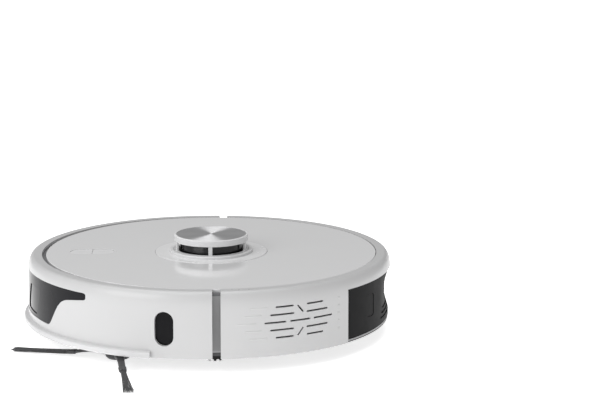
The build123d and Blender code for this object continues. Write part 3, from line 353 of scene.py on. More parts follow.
# ---- which finish each slot of the record gets ----
NODE_SLOTS = {
    "shell_satin": ["rear_shell", "bumper_shell"],
    "top_gloss": ["top_plate"],
    "trim_satin": [
        "lidar_trim_ring", "lidar_base", "lidar_cover", "button_bezel",
        "power_button", "home_button", "caster_wheel", "filter_frame",
    ],
    "lip_soft": ["bumper_lip"],
    "chassis_black": [
        "chassis_base", "battery_cover", "brush_housing", "caster_socket",
        "left_gearbox", "right_gearbox", "caster_fork", "brush_guard",
    ],
    "case_grey": [
        "top_frame", "battery_case", "fan_housing", "air_duct", "brush_motor",
        "side_brush_motor", "speaker", "bumper_switches", "left_wheel_hub",
        "right_wheel_hub", "roller_core", "fan_impeller",
    ],
    "port_black": ["dustbin_face", "bin_latch"],
    "window_smoke": ["front_window"],
    "lens_black": ["front_sensor_lenses", "side_sensor_window", "cliff_sensors"],
    "disc_metal": ["lidar_cap_disc"],
    "rotor_black": ["lidar_rotor"],
    "steel": [
        "lidar_motor", "suspension_pins", "suspension_springs", "chassis_screws",
        "caster_axle", "side_brush_screw",
    ],
    "contact_metal": ["charge_contacts"],
    "tyre_rubber": ["left_tyre", "right_tyre"],
    "brush_rubber": ["side_brush_hub", "side_brush_arms", "evac_flap"],
    "roller_rubber": ["roller_fins"],
    "bristle": ["side_brush_bristles"],
    "cell_wrap": ["battery_cells"],
    "board_green": ["main_board"],
    "filter_paper": ["filter_media"],
    "mesh_black": ["grille_screen"],
    "bin_smoke": ["dustbin_body", "dustbin_lid"],
}


def make_finishes(colours):
    """Every material, by the record's slot name."""
    board_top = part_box("main_board")[0][2] + 1.7 * MM
    return {
        "shell_satin": moulded("shell_satin", colours.shell, 0.3, 0.25 * MM, 0.006 * MM, 0.012),
        "top_gloss": moulded(
            "top_gloss", colours.plate, 0.13, 1.5 * MM, 0.003 * MM, 0.01, 0.03,
            Coat_Weight=0.5, Coat_Roughness=0.06,
        ),
        "trim_satin": moulded("trim_satin", colours.trim, 0.26, 0.3 * MM, 0.005 * MM, 0.012),
        "lip_soft": moulded("lip_soft", colours.lip, 0.42, 0.35 * MM, 0.01 * MM, 0.02),
        "chassis_black": hull_black(
            "chassis_black", colours.chassis, colours.case_wall, 165.5 * MM, 15.0 * MM
        ),
        "case_grey": moulded("case_grey", colours.case, 0.48, 0.5 * MM, 0.03 * MM, 0.1),
        "port_black": moulded(
            "port_black", colours.port, 0.55, 0.5 * MM, 0.01 * MM, 0.2, Specular_IOR_Level=0.1
        ),
        "window_smoke": smoked("window_smoke", colours.window, 0.1),
        "lens_black": smoked("lens_black", colours.lens, 0.07),
        "disc_metal": spun_disc("disc_metal", colours.disc),
        "rotor_black": moulded("rotor_black", colours.lens, 0.2, 0.6 * MM, 0.008 * MM, 0.2),
        "steel": turned_steel("steel", (0.55, 0.55, 0.56), 0.22),
        "contact_metal": turned_steel("contact_metal", (0.78, 0.75, 0.68), 0.12),
        "tyre_rubber": rubber("tyre_rubber", colours.rubber, 0.5 * MM, 0.06 * MM),
        "brush_rubber": rubber("brush_rubber", colours.brush, 0.4 * MM, 0.03 * MM),
        "roller_rubber": rubber("roller_rubber", colours.roller, 0.6 * MM, 0.04 * MM),
        "bristle": strands("bristle", colours.brush),
        "cell_wrap": wrapped_cells("cell_wrap", (0.03, 0.12, 0.32)),
        "board_green": solder_mask("board_green", (0.012, 0.10, 0.045), board_top),
        "filter_paper": pleated_paper("filter_paper", (0.82, 0.81, 0.76)),
        "mesh_black": woven_screen("mesh_black", (0.02, 0.02, 0.02)),
        "bin_smoke": smoked("bin_smoke", (0.05, 0.05, 0.055), 0.16),
    }


# ---- meshes ----
def as_object(name, mesh, material=None):
    """Puts a mesh in the scene as an object at the origin."""
    made = bpy.data.objects.new(name, mesh)
    bpy.context.scene.collection.objects.link(made)
    if material is not None:
        mesh.materials.clear()
        mesh.materials.append(material)
    return made


def from_bmesh(name, shape, material, smooth_angle=40.0):
    """Finishes a bmesh: joins doubles, turns faces outwards, smooths below an angle."""
    bmesh.ops.remove_doubles(shape, verts=shape.verts[:], dist=0.002 * MM)
    bmesh.ops.recalc_face_normals(shape, faces=shape.faces[:])
    for face in shape.faces:
        face.smooth = True
    for edge in shape.edges:
        if len(edge.link_faces) == 2:
            edge.smooth = edge.calc_face_angle(0.0) < math.radians(smooth_angle)
    mesh = bpy.data.meshes.new(name)
    shape.to_mesh(mesh)
    shape.free()
    return as_object(name, mesh, material)


def rest_on(piece, body, slot, *nodes):
    """Says which body a finished piece moves with and the CAD nodes it stands for; its slot is not used.
    """
    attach(piece, body)
    if nodes:
        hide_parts(*nodes)


def grow(name, graph, inputs):
    """Runs a geometry tree with its inputs set and keeps the result as a plain mesh."""
    host = as_object(name, bpy.data.meshes.new(name + "_seed"))
    modifier = host.modifiers.new(name, "NODES")
    modifier.node_group = graph.tree
    for item in graph.tree.interface.items_tree:
        if item.item_type == "SOCKET" and item.in_out == "INPUT":
            modifier[item.identifier] = inputs[item.name]
    bpy.context.view_layer.update()
    depsgraph = bpy.context.evaluated_depsgraph_get()
    mesh = bpy.data.meshes.new_from_object(host.evaluated_get(depsgraph), depsgraph=depsgraph)
    if not mesh.polygons:
        raise RuntimeError(f"{name} came out empty")
    host.modifiers.remove(modifier)
    host.data = mesh
    mesh.name = name
    return host


class Grower(Graph):
    """A geometry tree with named inputs that ends in Realize Instances and Set Material."""

    KINDS = {
        float: "NodeSocketFloat",
        int: "NodeSocketInt",
        "material": "NodeSocketMaterial",
        "object": "NodeSocketObject",
    }

    def __init__(self, name, inputs):
        super().__init__(bpy.data.node_groups.new(name, "GeometryNodeTree"))
        self.tree.interface.new_socket("Geometry", in_out="OUTPUT", socket_type="NodeSocketGeometry")
        for input_name, kind in inputs.items():
            self.tree.interface.new_socket(input_name, in_out="INPUT", socket_type=self.KINDS[kind])
        self.group_input = self.tree.nodes.new("NodeGroupInput")

    def given(self, name):
        """The wire of one named input."""
        return Wire(self, self.group_input.outputs[name])

    def vector(self, x=0.0, y=0.0, z=0.0):
        return self.node("ShaderNodeCombineXYZ", {}, {"X": x, "Y": y, "Z": z})

    def random(self, low, high, key, seed):
        """A fixed random number for each key."""
        values = {"Min": low, "Max": high, "ID": key, "Seed": seed}
        return self.node("FunctionNodeRandomValue", {"data_type": "FLOAT"}, values)

    def copies(self, count, shape):
        """Count instances of a shape, all at the origin, made real."""
        points = self.node("GeometryNodePoints", {}, {"Count": count})
        placed = self.node("GeometryNodeInstanceOnPoints", {}, {"Points": points, "Instance": shape})
        return self.node("GeometryNodeRealizeInstances", {}, {"Geometry": placed})

    def tube(self, path, radius, sides):
        """A round tube along a curve."""
        ring = self.node("GeometryNodeCurvePrimitiveCircle", {}, {"Resolution": sides, "Radius": radius})
        values = {"Curve": path, "Profile Curve": ring, "Fill Caps": True}
        return self.node("GeometryNodeCurveToMesh", {}, values)

    def end(self, shape, smooth=True):
        """Closes the tree: real geometry, shading and the material input."""
        real = self.node("GeometryNodeRealizeInstances", {}, {"Geometry": shape})
        soft = self.node("GeometryNodeSetShadeSmooth", {}, {"Geometry": real, "Shade Smooth": smooth})
        values = {"Geometry": soft, "Material": self.given("Material")}
        done = self.node("GeometryNodeSetMaterial", {}, values)
        output = self.tree.nodes.new("NodeGroupOutput")
        self.tree.links.new(done.socket, output.inputs["Geometry"])
        return self


def loft(shape, rings):
    """Joins rings of points, all of one length, into a closed skin with flat ends."""
    loops = [[shape.verts.new(point) for point in ring] for ring in rings]
    for first, second in zip(loops, loops[1:]):
        for i in range(len(first)):
            j = (i + 1) % len(first)
            shape.faces.new((first[i], first[j], second[j], second[i]))
    shape.faces.new(list(reversed(loops[0])))
    shape.faces.new(loops[-1])


def rounded_section(width, height, corners=16, squareness=3.2):
    """Points round a soft-cornered section, as pairs of across and up."""
    points = []
    for i in range(corners):
        angle = 2 * math.pi * (i + 0.5) / corners
        across, up = math.cos(angle), math.sin(angle)
        reach = (abs(across) ** squareness + abs(up) ** squareness) ** (-1 / squareness)
        points.append((across * reach * width / 2, up * reach * height / 2))
    return points


# ---- side brush ----
STRAP_SECTIONS = (
    (8.0, 8.0, 3.6, 8.6),
    (12.0, 9.8, 4.4, 8.9),
    (16.0, 9.4, 4.6, 9.3),
    (22.0, 7.6, 3.8, 9.5),
    (29.0, 6.8, 3.1, 9.0),
    (37.0, 6.4, 2.9, 7.6),
    (43.5, 6.4, 2.9, 6.1),
    (44.2, 7.6, 4.2, 5.9),
    (50.0, 7.4, 4.0, 5.3),
    (52.3, 6.4, 3.4, 5.1),
)


def brush_arm_frame(angle, centre):
    """Places a brush arm's own axes: along it, across it and up."""
    turn = Matrix.Rotation(angle, 4, "Z")
    return Matrix.Translation((centre.x, centre.y, 0.0)) @ turn


def make_brush_straps(sizes, material):
    """Rubber straps of the side brush, each with a hump at the hub and a collar at its end."""
    shape = bmesh.new()
    centre = box_centre("side_brush_hub")
    for i in range(sizes.arms):
        frame_of_arm = brush_arm_frame(sizes.first_angle + i * 2 * math.pi / sizes.arms, centre)
        rings = []
        for reach, width, height, lift in STRAP_SECTIONS:
            section = rounded_section(width * MM, height * MM)
            rings.append([frame_of_arm @ Vector((reach * MM, a, lift * MM + u)) for a, u in section])
        loft(shape, rings)
    return from_bmesh("side_brush_straps", shape, material, 35.0)


def bristle_tree():
    """Strands that start in a tight bundle and fan out towards their tips."""
    numbers = ["Root", "Tip", "Root Spread", "Tip Spread", "Root Height", "Tip Height"]
    inputs = {name: float for name in numbers + ["Strand Radius", "First Angle", "Hub X", "Hub Y"]}
    inputs.update({"Strands": int, "Arms": int, "Seed": int, "Material": "material"})
    tree = Grower("Side brush bristles", inputs)
    given = tree.given
    line = tree.node("GeometryNodeCurvePrimitiveLine", {}, {"End": (1.0, 0.0, 0.0)})
    line = tree.node("GeometryNodeResampleCurve", {}, {"Curve": line, "Count": 8})
    bundle = tree.copies(given("Strands") * given("Arms"), line)
    strand = tree.node("GeometryNodeCurveOfPoint", {}, {}, "Curve Index")
    along = tree.node("GeometryNodeSplineParameter", {}, {}, "Factor")
    side = tree.random(-1.0, 1.0, strand, given("Seed"))
    rise = tree.random(-1.0, 1.0, strand, given("Seed") + 1)
    cut = tree.random(0.9, 1.0, strand, given("Seed") + 2)
    curl = tree.random(-1.0, 1.0, strand, given("Seed") + 3)
    arm = (strand / given("Strands")).math("FLOOR", strand / given("Strands"))
    reach = given("Root") + (given("Tip") - given("Root")) * along * cut
    flare = along ** 1.35
    spread = given("Root Spread") * (1 - flare) + given("Tip Spread") * flare
    across = side * spread + curl * 0.0012 * (along * along)
    droop = given("Root Height") + (given("Tip Height") - given("Root Height")) * along ** 0.8
    lift = droop + rise * (given("Root Spread") * (1 - 0.55 * along))
    angle = given("First Angle") + arm * (2 * math.pi) / given("Arms")
    east = reach * angle.cosine() - across * angle.sine() + given("Hub X")
    north = reach * angle.sine() + across * angle.cosine() + given("Hub Y")
    place = tree.vector(east, north, lift)
    curves = tree.node("GeometryNodeSetPosition", {}, {"Geometry": bundle, "Position": place})
    return tree.end(tree.tube(curves, given("Strand Radius"), 5))


# ---- roller ----
def fin_tree():
    """Curved rubber fins that wind both ways from the roller's middle."""
    numbers = ["Length", "Root Radius", "Tip Radius", "Thickness", "Twist", "Lean", "X", "Z"]
    inputs = {name: float for name in numbers}
    inputs.update({"Fins": int, "Material": "material"})
    tree = Grower("Roller fins", inputs)
    given = tree.given
    height = given("Tip Radius") - given("Root Radius")
    size = tree.vector(given("Thickness"), given("Length"), height)
    counts = {"Size": size, "Vertices X": 2, "Vertices Y": 97, "Vertices Z": 6}
    slab = tree.node("GeometryNodeMeshCube", {}, counts, "Mesh")
    raw = tree.node("GeometryNodeInputPosition")
    x = tree.node("ShaderNodeSeparateXYZ", {}, {0: raw}, "X")
    y = tree.node("ShaderNodeSeparateXYZ", {}, {0: raw}, "Y")
    z = tree.node("ShaderNodeSeparateXYZ", {}, {0: raw}, "Z")
    rise = z / height + 0.5
    radius = z + height / 2 + given("Root Radius")
    angle = abs(y) / given("Length") * 2.0 * given("Twist") + rise * rise * given("Lean")
    side = x * (1.25 - rise * 0.65)
    east = radius * angle.sine() + side * angle.cosine()
    up = radius * angle.cosine() - side * angle.sine()
    fin = tree.node(
        "GeometryNodeSetPosition", {}, {"Geometry": slab, "Position": tree.vector(east, y, up)}
    )
    points = tree.node("GeometryNodePoints", {}, {"Count": given("Fins")})
    index = tree.node("GeometryNodeInputIndex")
    turn = tree.vector(0.0, index * (2 * math.pi) / given("Fins"), 0.0)
    turn = tree.node("FunctionNodeEulerToRotation", {}, {"Euler": turn})
    values = {"Points": points, "Instance": fin, "Rotation": turn}
    wheel = tree.node("GeometryNodeInstanceOnPoints", {}, values)
    real = tree.node("GeometryNodeRealizeInstances", {}, {"Geometry": wheel})
    offset = tree.vector(given("X"), 0.0, given("Z"))
    moved = tree.node("GeometryNodeSetPosition", {}, {"Geometry": real, "Offset": offset})
    return tree.end(moved)


def make_sleeve(name, centre, length, inner, outer, material, sides=64):
    """A tube along Y with rounded ends, open through its middle."""
    shape = bmesh.new()
    edge = 0.6 * MM
    profile = [
        (inner, -length / 2), (outer - edge, -length / 2), (outer, -length / 2 + edge),
        (outer, length / 2 - edge), (outer - edge, length / 2), (inner, length / 2),
    ]
    rings = []
    for i in range(sides):
        angle = 2 * math.pi * i / sides
        turn = Vector((math.sin(angle), 0.0, math.cos(angle)))
        rings.append([shape.verts.new(centre + turn * r + Vector((0.0, y, 0.0))) for r, y in profile])
    for i in range(sides):
        first, second = rings[i], rings[(i + 1) % sides]
        for j in range(len(profile)):
            k = (j + 1) % len(profile)
            shape.faces.new((first[j], first[k], second[k], second[j]))
    return from_bmesh(name, shape, material)


# ---- springs and screws ----
def spring_tree():
    """A torsion coil on each suspension pin, with a straight leg down to the swing arm."""
    numbers = ["Coil Radius", "Wire Radius", "Coil Length", "Turns", "Leg", "X", "Y", "Z"]
    tree = Grower("Suspension springs", {**{name: float for name in numbers}, "Material": "material"})
    given = tree.given
    spiral = {
        "Resolution": 40, "Rotations": given("Turns"), "Start Radius": given("Coil Radius"),
        "End Radius": given("Coil Radius"), "Height": given("Coil Length"),
    }
    coil = tree.node("GeometryNodeCurveSpiral", {}, spiral)
    start = tree.vector(given("Coil Radius"), 0.0, 0.0)
    finish = tree.vector(given("Coil Radius"), given("Leg"), 0.0)
    leg = tree.node("GeometryNodeCurvePrimitiveLine", {}, {"Start": start, "End": finish})
    shapes = [tree.tube(coil, given("Wire Radius"), 10), tree.tube(leg, given("Wire Radius"), 10)]
    joined = tree.node("GeometryNodeJoinGeometry", {}, {"Geometry": shapes})
    sides = []
    for side in (1.0, -1.0):
        where = tree.vector(given("X"), given("Y") * side, given("Z"))
        turned = {"Geometry": joined, "Translation": where, "Rotation": (-side * math.pi / 2, 0.0, 0.0)}
        if side < 0:
            flipped = {"Geometry": joined, "Rotation": (math.pi, 0.0, 0.0)}
            turned["Geometry"] = tree.node("GeometryNodeTransform", {}, flipped)
            turned["Rotation"] = (-math.pi / 2, 0.0, 0.0)
        sides.append(tree.node("GeometryNodeTransform", {}, turned))
    return tree.end(tree.node("GeometryNodeJoinGeometry", {}, {"Geometry": sides}))


def cross_head(radius, height, recess):
    """A screw head seen from below, with a cross recess, its face down at nought."""
    shape = bmesh.new()
    steps = 32
    rim = [(math.cos(2 * math.pi * i / steps), math.sin(2 * math.pi * i / steps)) for i in range(steps)]
    rings = [
        (radius, height), (radius, 0.3 * height), (0.93 * radius, 0.08 * height), (0.84 * radius, 0.0),
    ]
    loops = [[shape.verts.new((x * r, y * r, z)) for x, y in rim] for r, z in rings]
    for first, second in zip(loops, loops[1:]):
        for i in range(steps):
            j = (i + 1) % steps
            shape.faces.new((first[i], first[j], second[j], second[i]))
    shape.faces.new(loops[0])
    arm, half = 0.52 * radius, 0.13 * radius
    quarter = [(arm, -half), (arm, half), (half, half)]
    plus = []
    for _ in range(4):
        plus.extend(quarter)
        quarter = [(-y, x) for x, y in quarter]
    mouth = [shape.verts.new((x, y, 0.0)) for x, y in plus]
    floor = [shape.verts.new((0.8 * x, 0.8 * y, recess)) for x, y in plus]
    edges = []
    for i in range(12):
        j = (i + 1) % 12
        shape.faces.new((mouth[i], mouth[j], floor[j], floor[i]))
        edges.append(shape.edges.get((mouth[i], mouth[j])))
    shape.faces.new(floor)
    edges += [shape.edges.get((loops[-1][i], loops[-1][(i + 1) % steps])) for i in range(steps)]
    bmesh.ops.triangle_fill(shape, use_beauty=True, use_dissolve=False, edges=edges)
    return from_bmesh("screw_head_pattern", shape, None, 30.0)


def stud_tree():
    """Copies of one screw head at the points of another object."""
    tree = Grower("Screws", {"Head": "object", "Places": "object", "Material": "material"})
    places = tree.node("GeometryNodeObjectInfo", {}, {"Object": tree.given("Places")}, "Geometry")
    head = tree.node("GeometryNodeObjectInfo", {}, {"Object": tree.given("Head")}, "Geometry")
    spots = tree.node("GeometryNodeMeshToPoints", {}, {"Mesh": places})
    index = tree.node("GeometryNodeInputIndex")
    turn = tree.vector(0.0, 0.0, tree.random(0.0, 1.5, index, 11))
    turn = tree.node("FunctionNodeEulerToRotation", {}, {"Euler": turn})
    values = {"Points": spots, "Instance": head, "Rotation": turn}
    return tree.end(tree.node("GeometryNodeInstanceOnPoints", {}, values), smooth=True)


def point_cloud(name, places):
    """Loose points that a geometry tree reads."""
    mesh = bpy.data.meshes.new(name)
    mesh.from_pydata([tuple(place) for place in places], [], [])
    return as_object(name, mesh)


def islands(node):
    """The separate lumps of a CAD node, each as its low and high corner."""
    copy = bmesh.new()
    copy.from_mesh(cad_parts[node].data)
    bmesh.ops.remove_doubles(copy, verts=copy.verts[:], dist=0.01 * MM)
    seen, lumps = set(), []
    for start in copy.verts:
        if start.index in seen:
            continue
        stack, members = [start], []
        seen.add(start.index)
        while stack:
            vert = stack.pop()
            members.append(vert.co.copy())
            for edge in vert.link_edges:
                other = edge.other_vert(vert)
                if other.index not in seen:
                    seen.add(other.index)
                    stack.append(other)
        low = Vector([min(place[i] for place in members) for i in range(3)])
        high = Vector([max(place[i] for place in members) for i in range(3)])
        lumps.append((low, high))
    copy.free()
    return lumps


# ---- shallow marks ----
WALL_RADIUS = 175.0 * MM
MARK_PITCH = 7.2 * MM
MARK_RISE = 0.2 * MM
DASH_WIDTH = 2.0 * MM
DOT_ANGLE = 134.0
DOT_LENGTH = 2.6 * MM
DOT_WIDTH = 2.4 * MM
# each row's place, the dash's direction in degrees and its length in millimetres
MARK_ROWS = ((2, 105.6, 17.0), (1, 104.0, 16.0), (0, 102.0, 18.0), (-1, 104.0, 16.0), (-2, 105.6, 17.0))
KEY_STROKE = 0.42 * MM
KEY_SUNK = 0.2 * MM
KEY_PROUD = 0.05 * MM
POWER_RING = 2.6 * MM
POWER_BAR = (0.8 * MM, 3.2 * MM)
HOME_OUTLINE = ((-2.4, -2.1), (-2.4, 2.1), (0.4, 2.1), (2.8, 0.0), (0.4, -2.1))


def pad_on_wall(shape, radius, angle, height, length, width, proud, tilt=0.0, sunk=0.25 * MM):
    """A thin rounded pad that follows the round wall: length along it, width up it."""
    steps = 8
    outline = []
    straight = max(length - width, 0.0) / 2
    for end in (1, -1):
        for i in range(steps + 1):
            turn = -math.pi / 2 + math.pi * i / steps
            u = end * (straight + math.cos(turn) * width / 2)
            outline.append((u, end * math.sin(turn) * width / 2))
    rings = []
    for depth, inset in ((-sunk, 1.0), (proud * 0.4, 1.0), (proud, 0.72)):
        ring = []
        for u, v in outline:
            a = u * math.cos(tilt) - v * inset * math.sin(tilt)
            b = u * math.sin(tilt) + v * inset * math.cos(tilt)
            around = angle + a / radius
            r = radius + depth
            ring.append((r * math.cos(around), r * math.sin(around), height + b))
        rings.append(ring)
    loft(shape, rings)


def flat_stroke(shape, points, width, low, high, closed=False):
    """A raised line of even width along points in a plane, from low to high."""
    count = len(points)
    rails = []
    for i in range(count):
        before = points[(i - 1) % count] if closed or i > 0 else points[i]
        after = points[(i + 1) % count] if closed or i < count - 1 else points[i]
        run = (Vector(after) - Vector(before)).normalized()
        across = Vector((-run.y, run.x)) * (width / 2)
        here = Vector(points[i])
        rails.append((here + across, here - across))
    rings = []
    for left, right in rails:
        rings.append([
            shape.verts.new((left.x, left.y, low)), shape.verts.new((right.x, right.y, low)),
            shape.verts.new((right.x, right.y, high)), shape.verts.new((left.x, left.y, high)),
        ])
    last = count if closed else count - 1
    for i in range(last):
        first, second = rings[i], rings[(i + 1) % count]
        for j in range(4):
            k = (j + 1) % 4
            shape.faces.new((first[j], first[k], second[k], second[j]))
    if not closed:
        shape.faces.new(rings[0])
        shape.faces.new(rings[-1])


# ---- settings ----
def colour_setting(name, description, *colour):
    """A colour that the user can change."""
    return bpy.props.FloatVectorProperty(
        name=name, description=description, subtype="COLOR", default=colour
    )


def length_setting(name, description, length):
    """A length in metres that the user can change."""
    return bpy.props.FloatProperty(
        name=name, description=description, unit="LENGTH", default=length
    )


def power_setting(name, description, power):
    """The power of a light, in watts."""
    return bpy.props.FloatProperty(name=name, description=description, unit="POWER", default=power)


def angle_setting(name, description, degrees):
    """An angle that the user can change, given here in degrees."""
    return bpy.props.FloatProperty(
        name=name, description=description, subtype="ANGLE", default=math.radians(degrees)
    )


class VacuumColours(bpy.types.PropertyGroup):
    """Colours of the finishes that a user would change."""

    shell: colour_setting("Shell", "Outer wall and bumper", 0.54, 0.54, 0.543)
    plate: colour_setting("Plate", "Glossy top plate", 0.80, 0.80, 0.805)
    trim: colour_setting("Trim", "Tower, key capsule and rings", 0.74, 0.74, 0.745)
    lip: colour_setting("Lip", "Soft strip round the foot", 0.60, 0.60, 0.605)
    chassis: colour_setting("Chassis", "Underside", 0.022, 0.022, 0.024)
    case: colour_setting("Cases", "Inner housings", 0.15, 0.15, 0.155)
    case_wall: colour_setting("Inner wall", "Chassis wall behind the shell", 0.34, 0.34, 0.345)
    port: colour_setting("Port", "Dustbin's outer face", 0.007, 0.007, 0.0075)
    window: colour_setting("Window", "Smoked front window", 0.012, 0.012, 0.014)
    lens: colour_setting("Lens", "Sensor panes and rotor", 0.008, 0.008, 0.009)
    disc: colour_setting("Lid", "Spun metal lid of the tower", 0.86, 0.86, 0.87)
    rubber: colour_setting("Tyres", "Tyre rubber", 0.018, 0.018, 0.018)
    brush: colour_setting("Side brush", "Straps, hub and bristles", 0.04, 0.04, 0.042)
    roller: colour_setting("Roller", "Roller fins", 0.05, 0.05, 0.052)


class VacuumSizes(bpy.types.PropertyGroup):
    """Sizes of the fine pieces that a user would change."""

    arms: bpy.props.IntProperty(name="Arms", description="Arms of the side brush", default=3, min=2, max=6)
    first_angle: angle_setting("First arm", "Direction of the first arm", -22)
    strands: bpy.props.IntProperty(name="Strands", description="Bristles on each arm", default=85, min=10)
    bristle_root: length_setting("Bristle root", "Where the bristles start", 0.0515)
    bristle_tip: length_setting("Bristle tip", "How far the bristles reach", 0.1118)
    strand_radius: length_setting("Strand radius", "Radius of one bristle", 0.00016)
    fins: bpy.props.IntProperty(name="Fins", description="Fins round the roller", default=6, min=3, max=12)
    fin_thickness: length_setting("Fin thickness", "Thickness of a fin at half its height", 0.002)
    fin_twist: angle_setting("Fin twist", "Turn of a fin from the middle to an end", 58)


class VacuumStudio(bpy.types.PropertyGroup):
    """Camera and lights."""

    distance: length_setting("Distance", "Camera to the plate's centre", 2.5)
    elevation: angle_setting("Elevation", "Camera above the horizon", 12.6)
    turn: angle_setting("Turn", "Camera round the upright axis", 1.45)
    lens: bpy.props.FloatProperty(
        name="Lens", description="Focal length", subtype="DISTANCE_CAMERA", default=153.45
    )
    aim_right: length_setting("Aim right", "Aim beside the plate's centre", 0.0871)
    aim_up: length_setting("Aim up", "Aim over the plate's centre", 0.0493)
    key_power: power_setting("Key", "Large light ahead", 38.0)
    top_power: power_setting("Top", "Light overhead", 40.0)
    sky: bpy.props.FloatProperty(name="Sky", description="Even light from all round", default=0.3)


class VacuumSettings(bpy.types.PropertyGroup):
    """All settings of the robot vacuum."""

    colours: bpy.props.PointerProperty(name="Colours", description="Finishes", type=VacuumColours)
    sizes: bpy.props.PointerProperty(name="Sizes", description="Fine pieces", type=VacuumSizes)
    studio: bpy.props.PointerProperty(name="Studio", description="Camera and lights", type=VacuumStudio)


def finish_of(slot):
    """The material of a slot, made by the first operator."""
    material = bpy.data.materials.get(slot)
    if material is None:
        raise RuntimeError(f"make the finishes first: {slot} is missing")
    return material


# ---- operators ----
class ROBOVAC_OT_finishes(bpy.types.Operator):
    """Make every finish and give each CAD piece its own"""

    bl_idname = "robovac.finishes"
    bl_label = "Finishes"

    def execute(self, context):
        for leftover in list(bpy.data.materials):
            leftover.name = "packed_" + leftover.name
        finishes = make_finishes(context.scene.robot_vacuum.colours)
        finished = set()
        for slot, nodes in NODE_SLOTS.items():
            for node in nodes:
                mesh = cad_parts[node].data
                mesh.materials.clear()
                mesh.materials.append(finishes[slot])
                finished.add(node)
        bare = set(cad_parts) - finished
        if bare:
            raise RuntimeError(f"no finish for {sorted(bare)}")
        return {"FINISHED"}


class ROBOVAC_OT_side_brush(bpy.types.Operator):
    """Make the side brush's straps and bristles"""

    bl_idname = "robovac.side_brush"
    bl_label = "Side brush"

    def execute(self, context):
        sizes = context.scene.robot_vacuum.sizes
        hub = box_centre("side_brush_hub")
        straps = make_brush_straps(sizes, finish_of("brush_rubber"))
        rest_on(straps, "side_brush", "brush_rubber", "side_brush_arms")
        inputs = {
            "Root": sizes.bristle_root, "Tip": sizes.bristle_tip,
            "Root Spread": 2.1 * MM, "Tip Spread": 4.6 * MM,
            "Root Height": 5.1 * MM, "Tip Height": 1.9 * MM,
            "Strand Radius": sizes.strand_radius, "First Angle": sizes.first_angle,
            "Hub X": hub.x, "Hub Y": hub.y, "Strands": sizes.strands, "Arms": sizes.arms,
            "Seed": 5, "Material": finish_of("bristle"),
        }
        bristles = grow("side_brush_strands", bristle_tree(), inputs)
        rest_on(bristles, "side_brush", "bristle", "side_brush_bristles")
        return {"FINISHED"}


class ROBOVAC_OT_roller(bpy.types.Operator):
    """Make the roller's wound fins and their sleeve"""

    bl_idname = "robovac.roller"
    bl_label = "Roller"

    def execute(self, context):
        sizes = context.scene.robot_vacuum.sizes
        centre = box_centre("roller_fins")
        span = box_size("roller_fins")
        core = box_size("roller_core").z / 2
        material = finish_of("roller_rubber")
        inputs = {
            "Length": span.y, "Root Radius": core + 0.6 * MM, "Tip Radius": span.z / 2 - 0.1 * MM,
            "Thickness": sizes.fin_thickness, "Twist": sizes.fin_twist, "Lean": math.radians(9),
            "X": centre.x, "Z": centre.z, "Fins": sizes.fins, "Material": material,
        }
        fins = grow("roller_wound_fins", fin_tree(), inputs)
        rest_on(fins, "main_brush", "roller_rubber", "roller_fins")
        sleeve = make_sleeve("roller_sleeve", centre, span.y, core - 0.1 * MM, core + 1.5 * MM, material)
        rest_on(sleeve, "main_brush", "roller_rubber")
        return {"FINISHED"}


class ROBOVAC_OT_springs(bpy.types.Operator):
    """Make the suspension's torsion springs"""

    bl_idname = "robovac.springs"
    bl_label = "Springs"

    def execute(self, context):
        low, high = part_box("suspension_springs")
        pin = box_centre("suspension_pins")
        pin_radius = box_size("suspension_pins").x / 2
        wire = 0.8 * MM
        inputs = {
            "Coil Radius": pin_radius + 0.35 * MM + wire, "Wire Radius": wire,
            "Coil Length": 5.0 * MM - 2 * wire, "Turns": 2.5,
            "Leg": pin.z - low[2] - wire, "X": pin.x, "Y": high[1] - 5.0 * MM + wire, "Z": pin.z,
            "Material": finish_of("steel"),
        }
        springs = grow("suspension_coils", spring_tree(), inputs)
        rest_on(springs, "root", "steel", "suspension_springs")
        return {"FINISHED"}


class ROBOVAC_OT_screws(bpy.types.Operator):
    """Make the cross-head screws under the chassis and in the side brush"""

    bl_idname = "robovac.screws"
    bl_label = "Screws"

    def execute(self, context):
        jobs = (
            ("chassis_screws", "chassis_screw_heads", "root"),
            ("side_brush_screw", "side_brush_screw_head", "side_brush"),
        )
        for node, name, body in jobs:
            lumps = islands(node)
            low, high = lumps[0]
            head = cross_head((high.x - low.x) / 2, high.z - low.z, 0.7 * (high.z - low.z))
            spots = [((low + high) / 2).to_2d().to_3d() + Vector((0, 0, low.z)) for low, high in lumps]
            places = point_cloud(name + "_places", spots)
            inputs = {"Head": head, "Places": places, "Material": finish_of("steel")}
            screws = grow(name, stud_tree(), inputs)
            for helper in (head, places):
                bpy.data.objects.remove(helper)
            rest_on(screws, body, "steel", node)
        return {"FINISHED"}


class ROBOVAC_OT_wall_marks(bpy.types.Operator):
    """Make the faint dashes and dots beside the grille"""

    bl_idname = "robovac.wall_marks"
    bl_label = "Wall marks"

    def execute(self, context):
        shape = bmesh.new()
        middle = box_centre("grille_screen").z
        for row, angle, length in MARK_ROWS:
            height = middle + row * MARK_PITCH
            dash = (math.radians(angle), height, length * MM, DASH_WIDTH, MARK_RISE)
            dot = (math.radians(DOT_ANGLE), height, DOT_LENGTH, DOT_WIDTH, MARK_RISE)
            for mark in (dash, dot):
                pad_on_wall(shape, WALL_RADIUS, *mark)
        marks = from_bmesh("wall_marks", shape, finish_of("shell_satin"), 50.0)
        rest_on(marks, "root", "shell_satin")
        return {"FINISHED"}


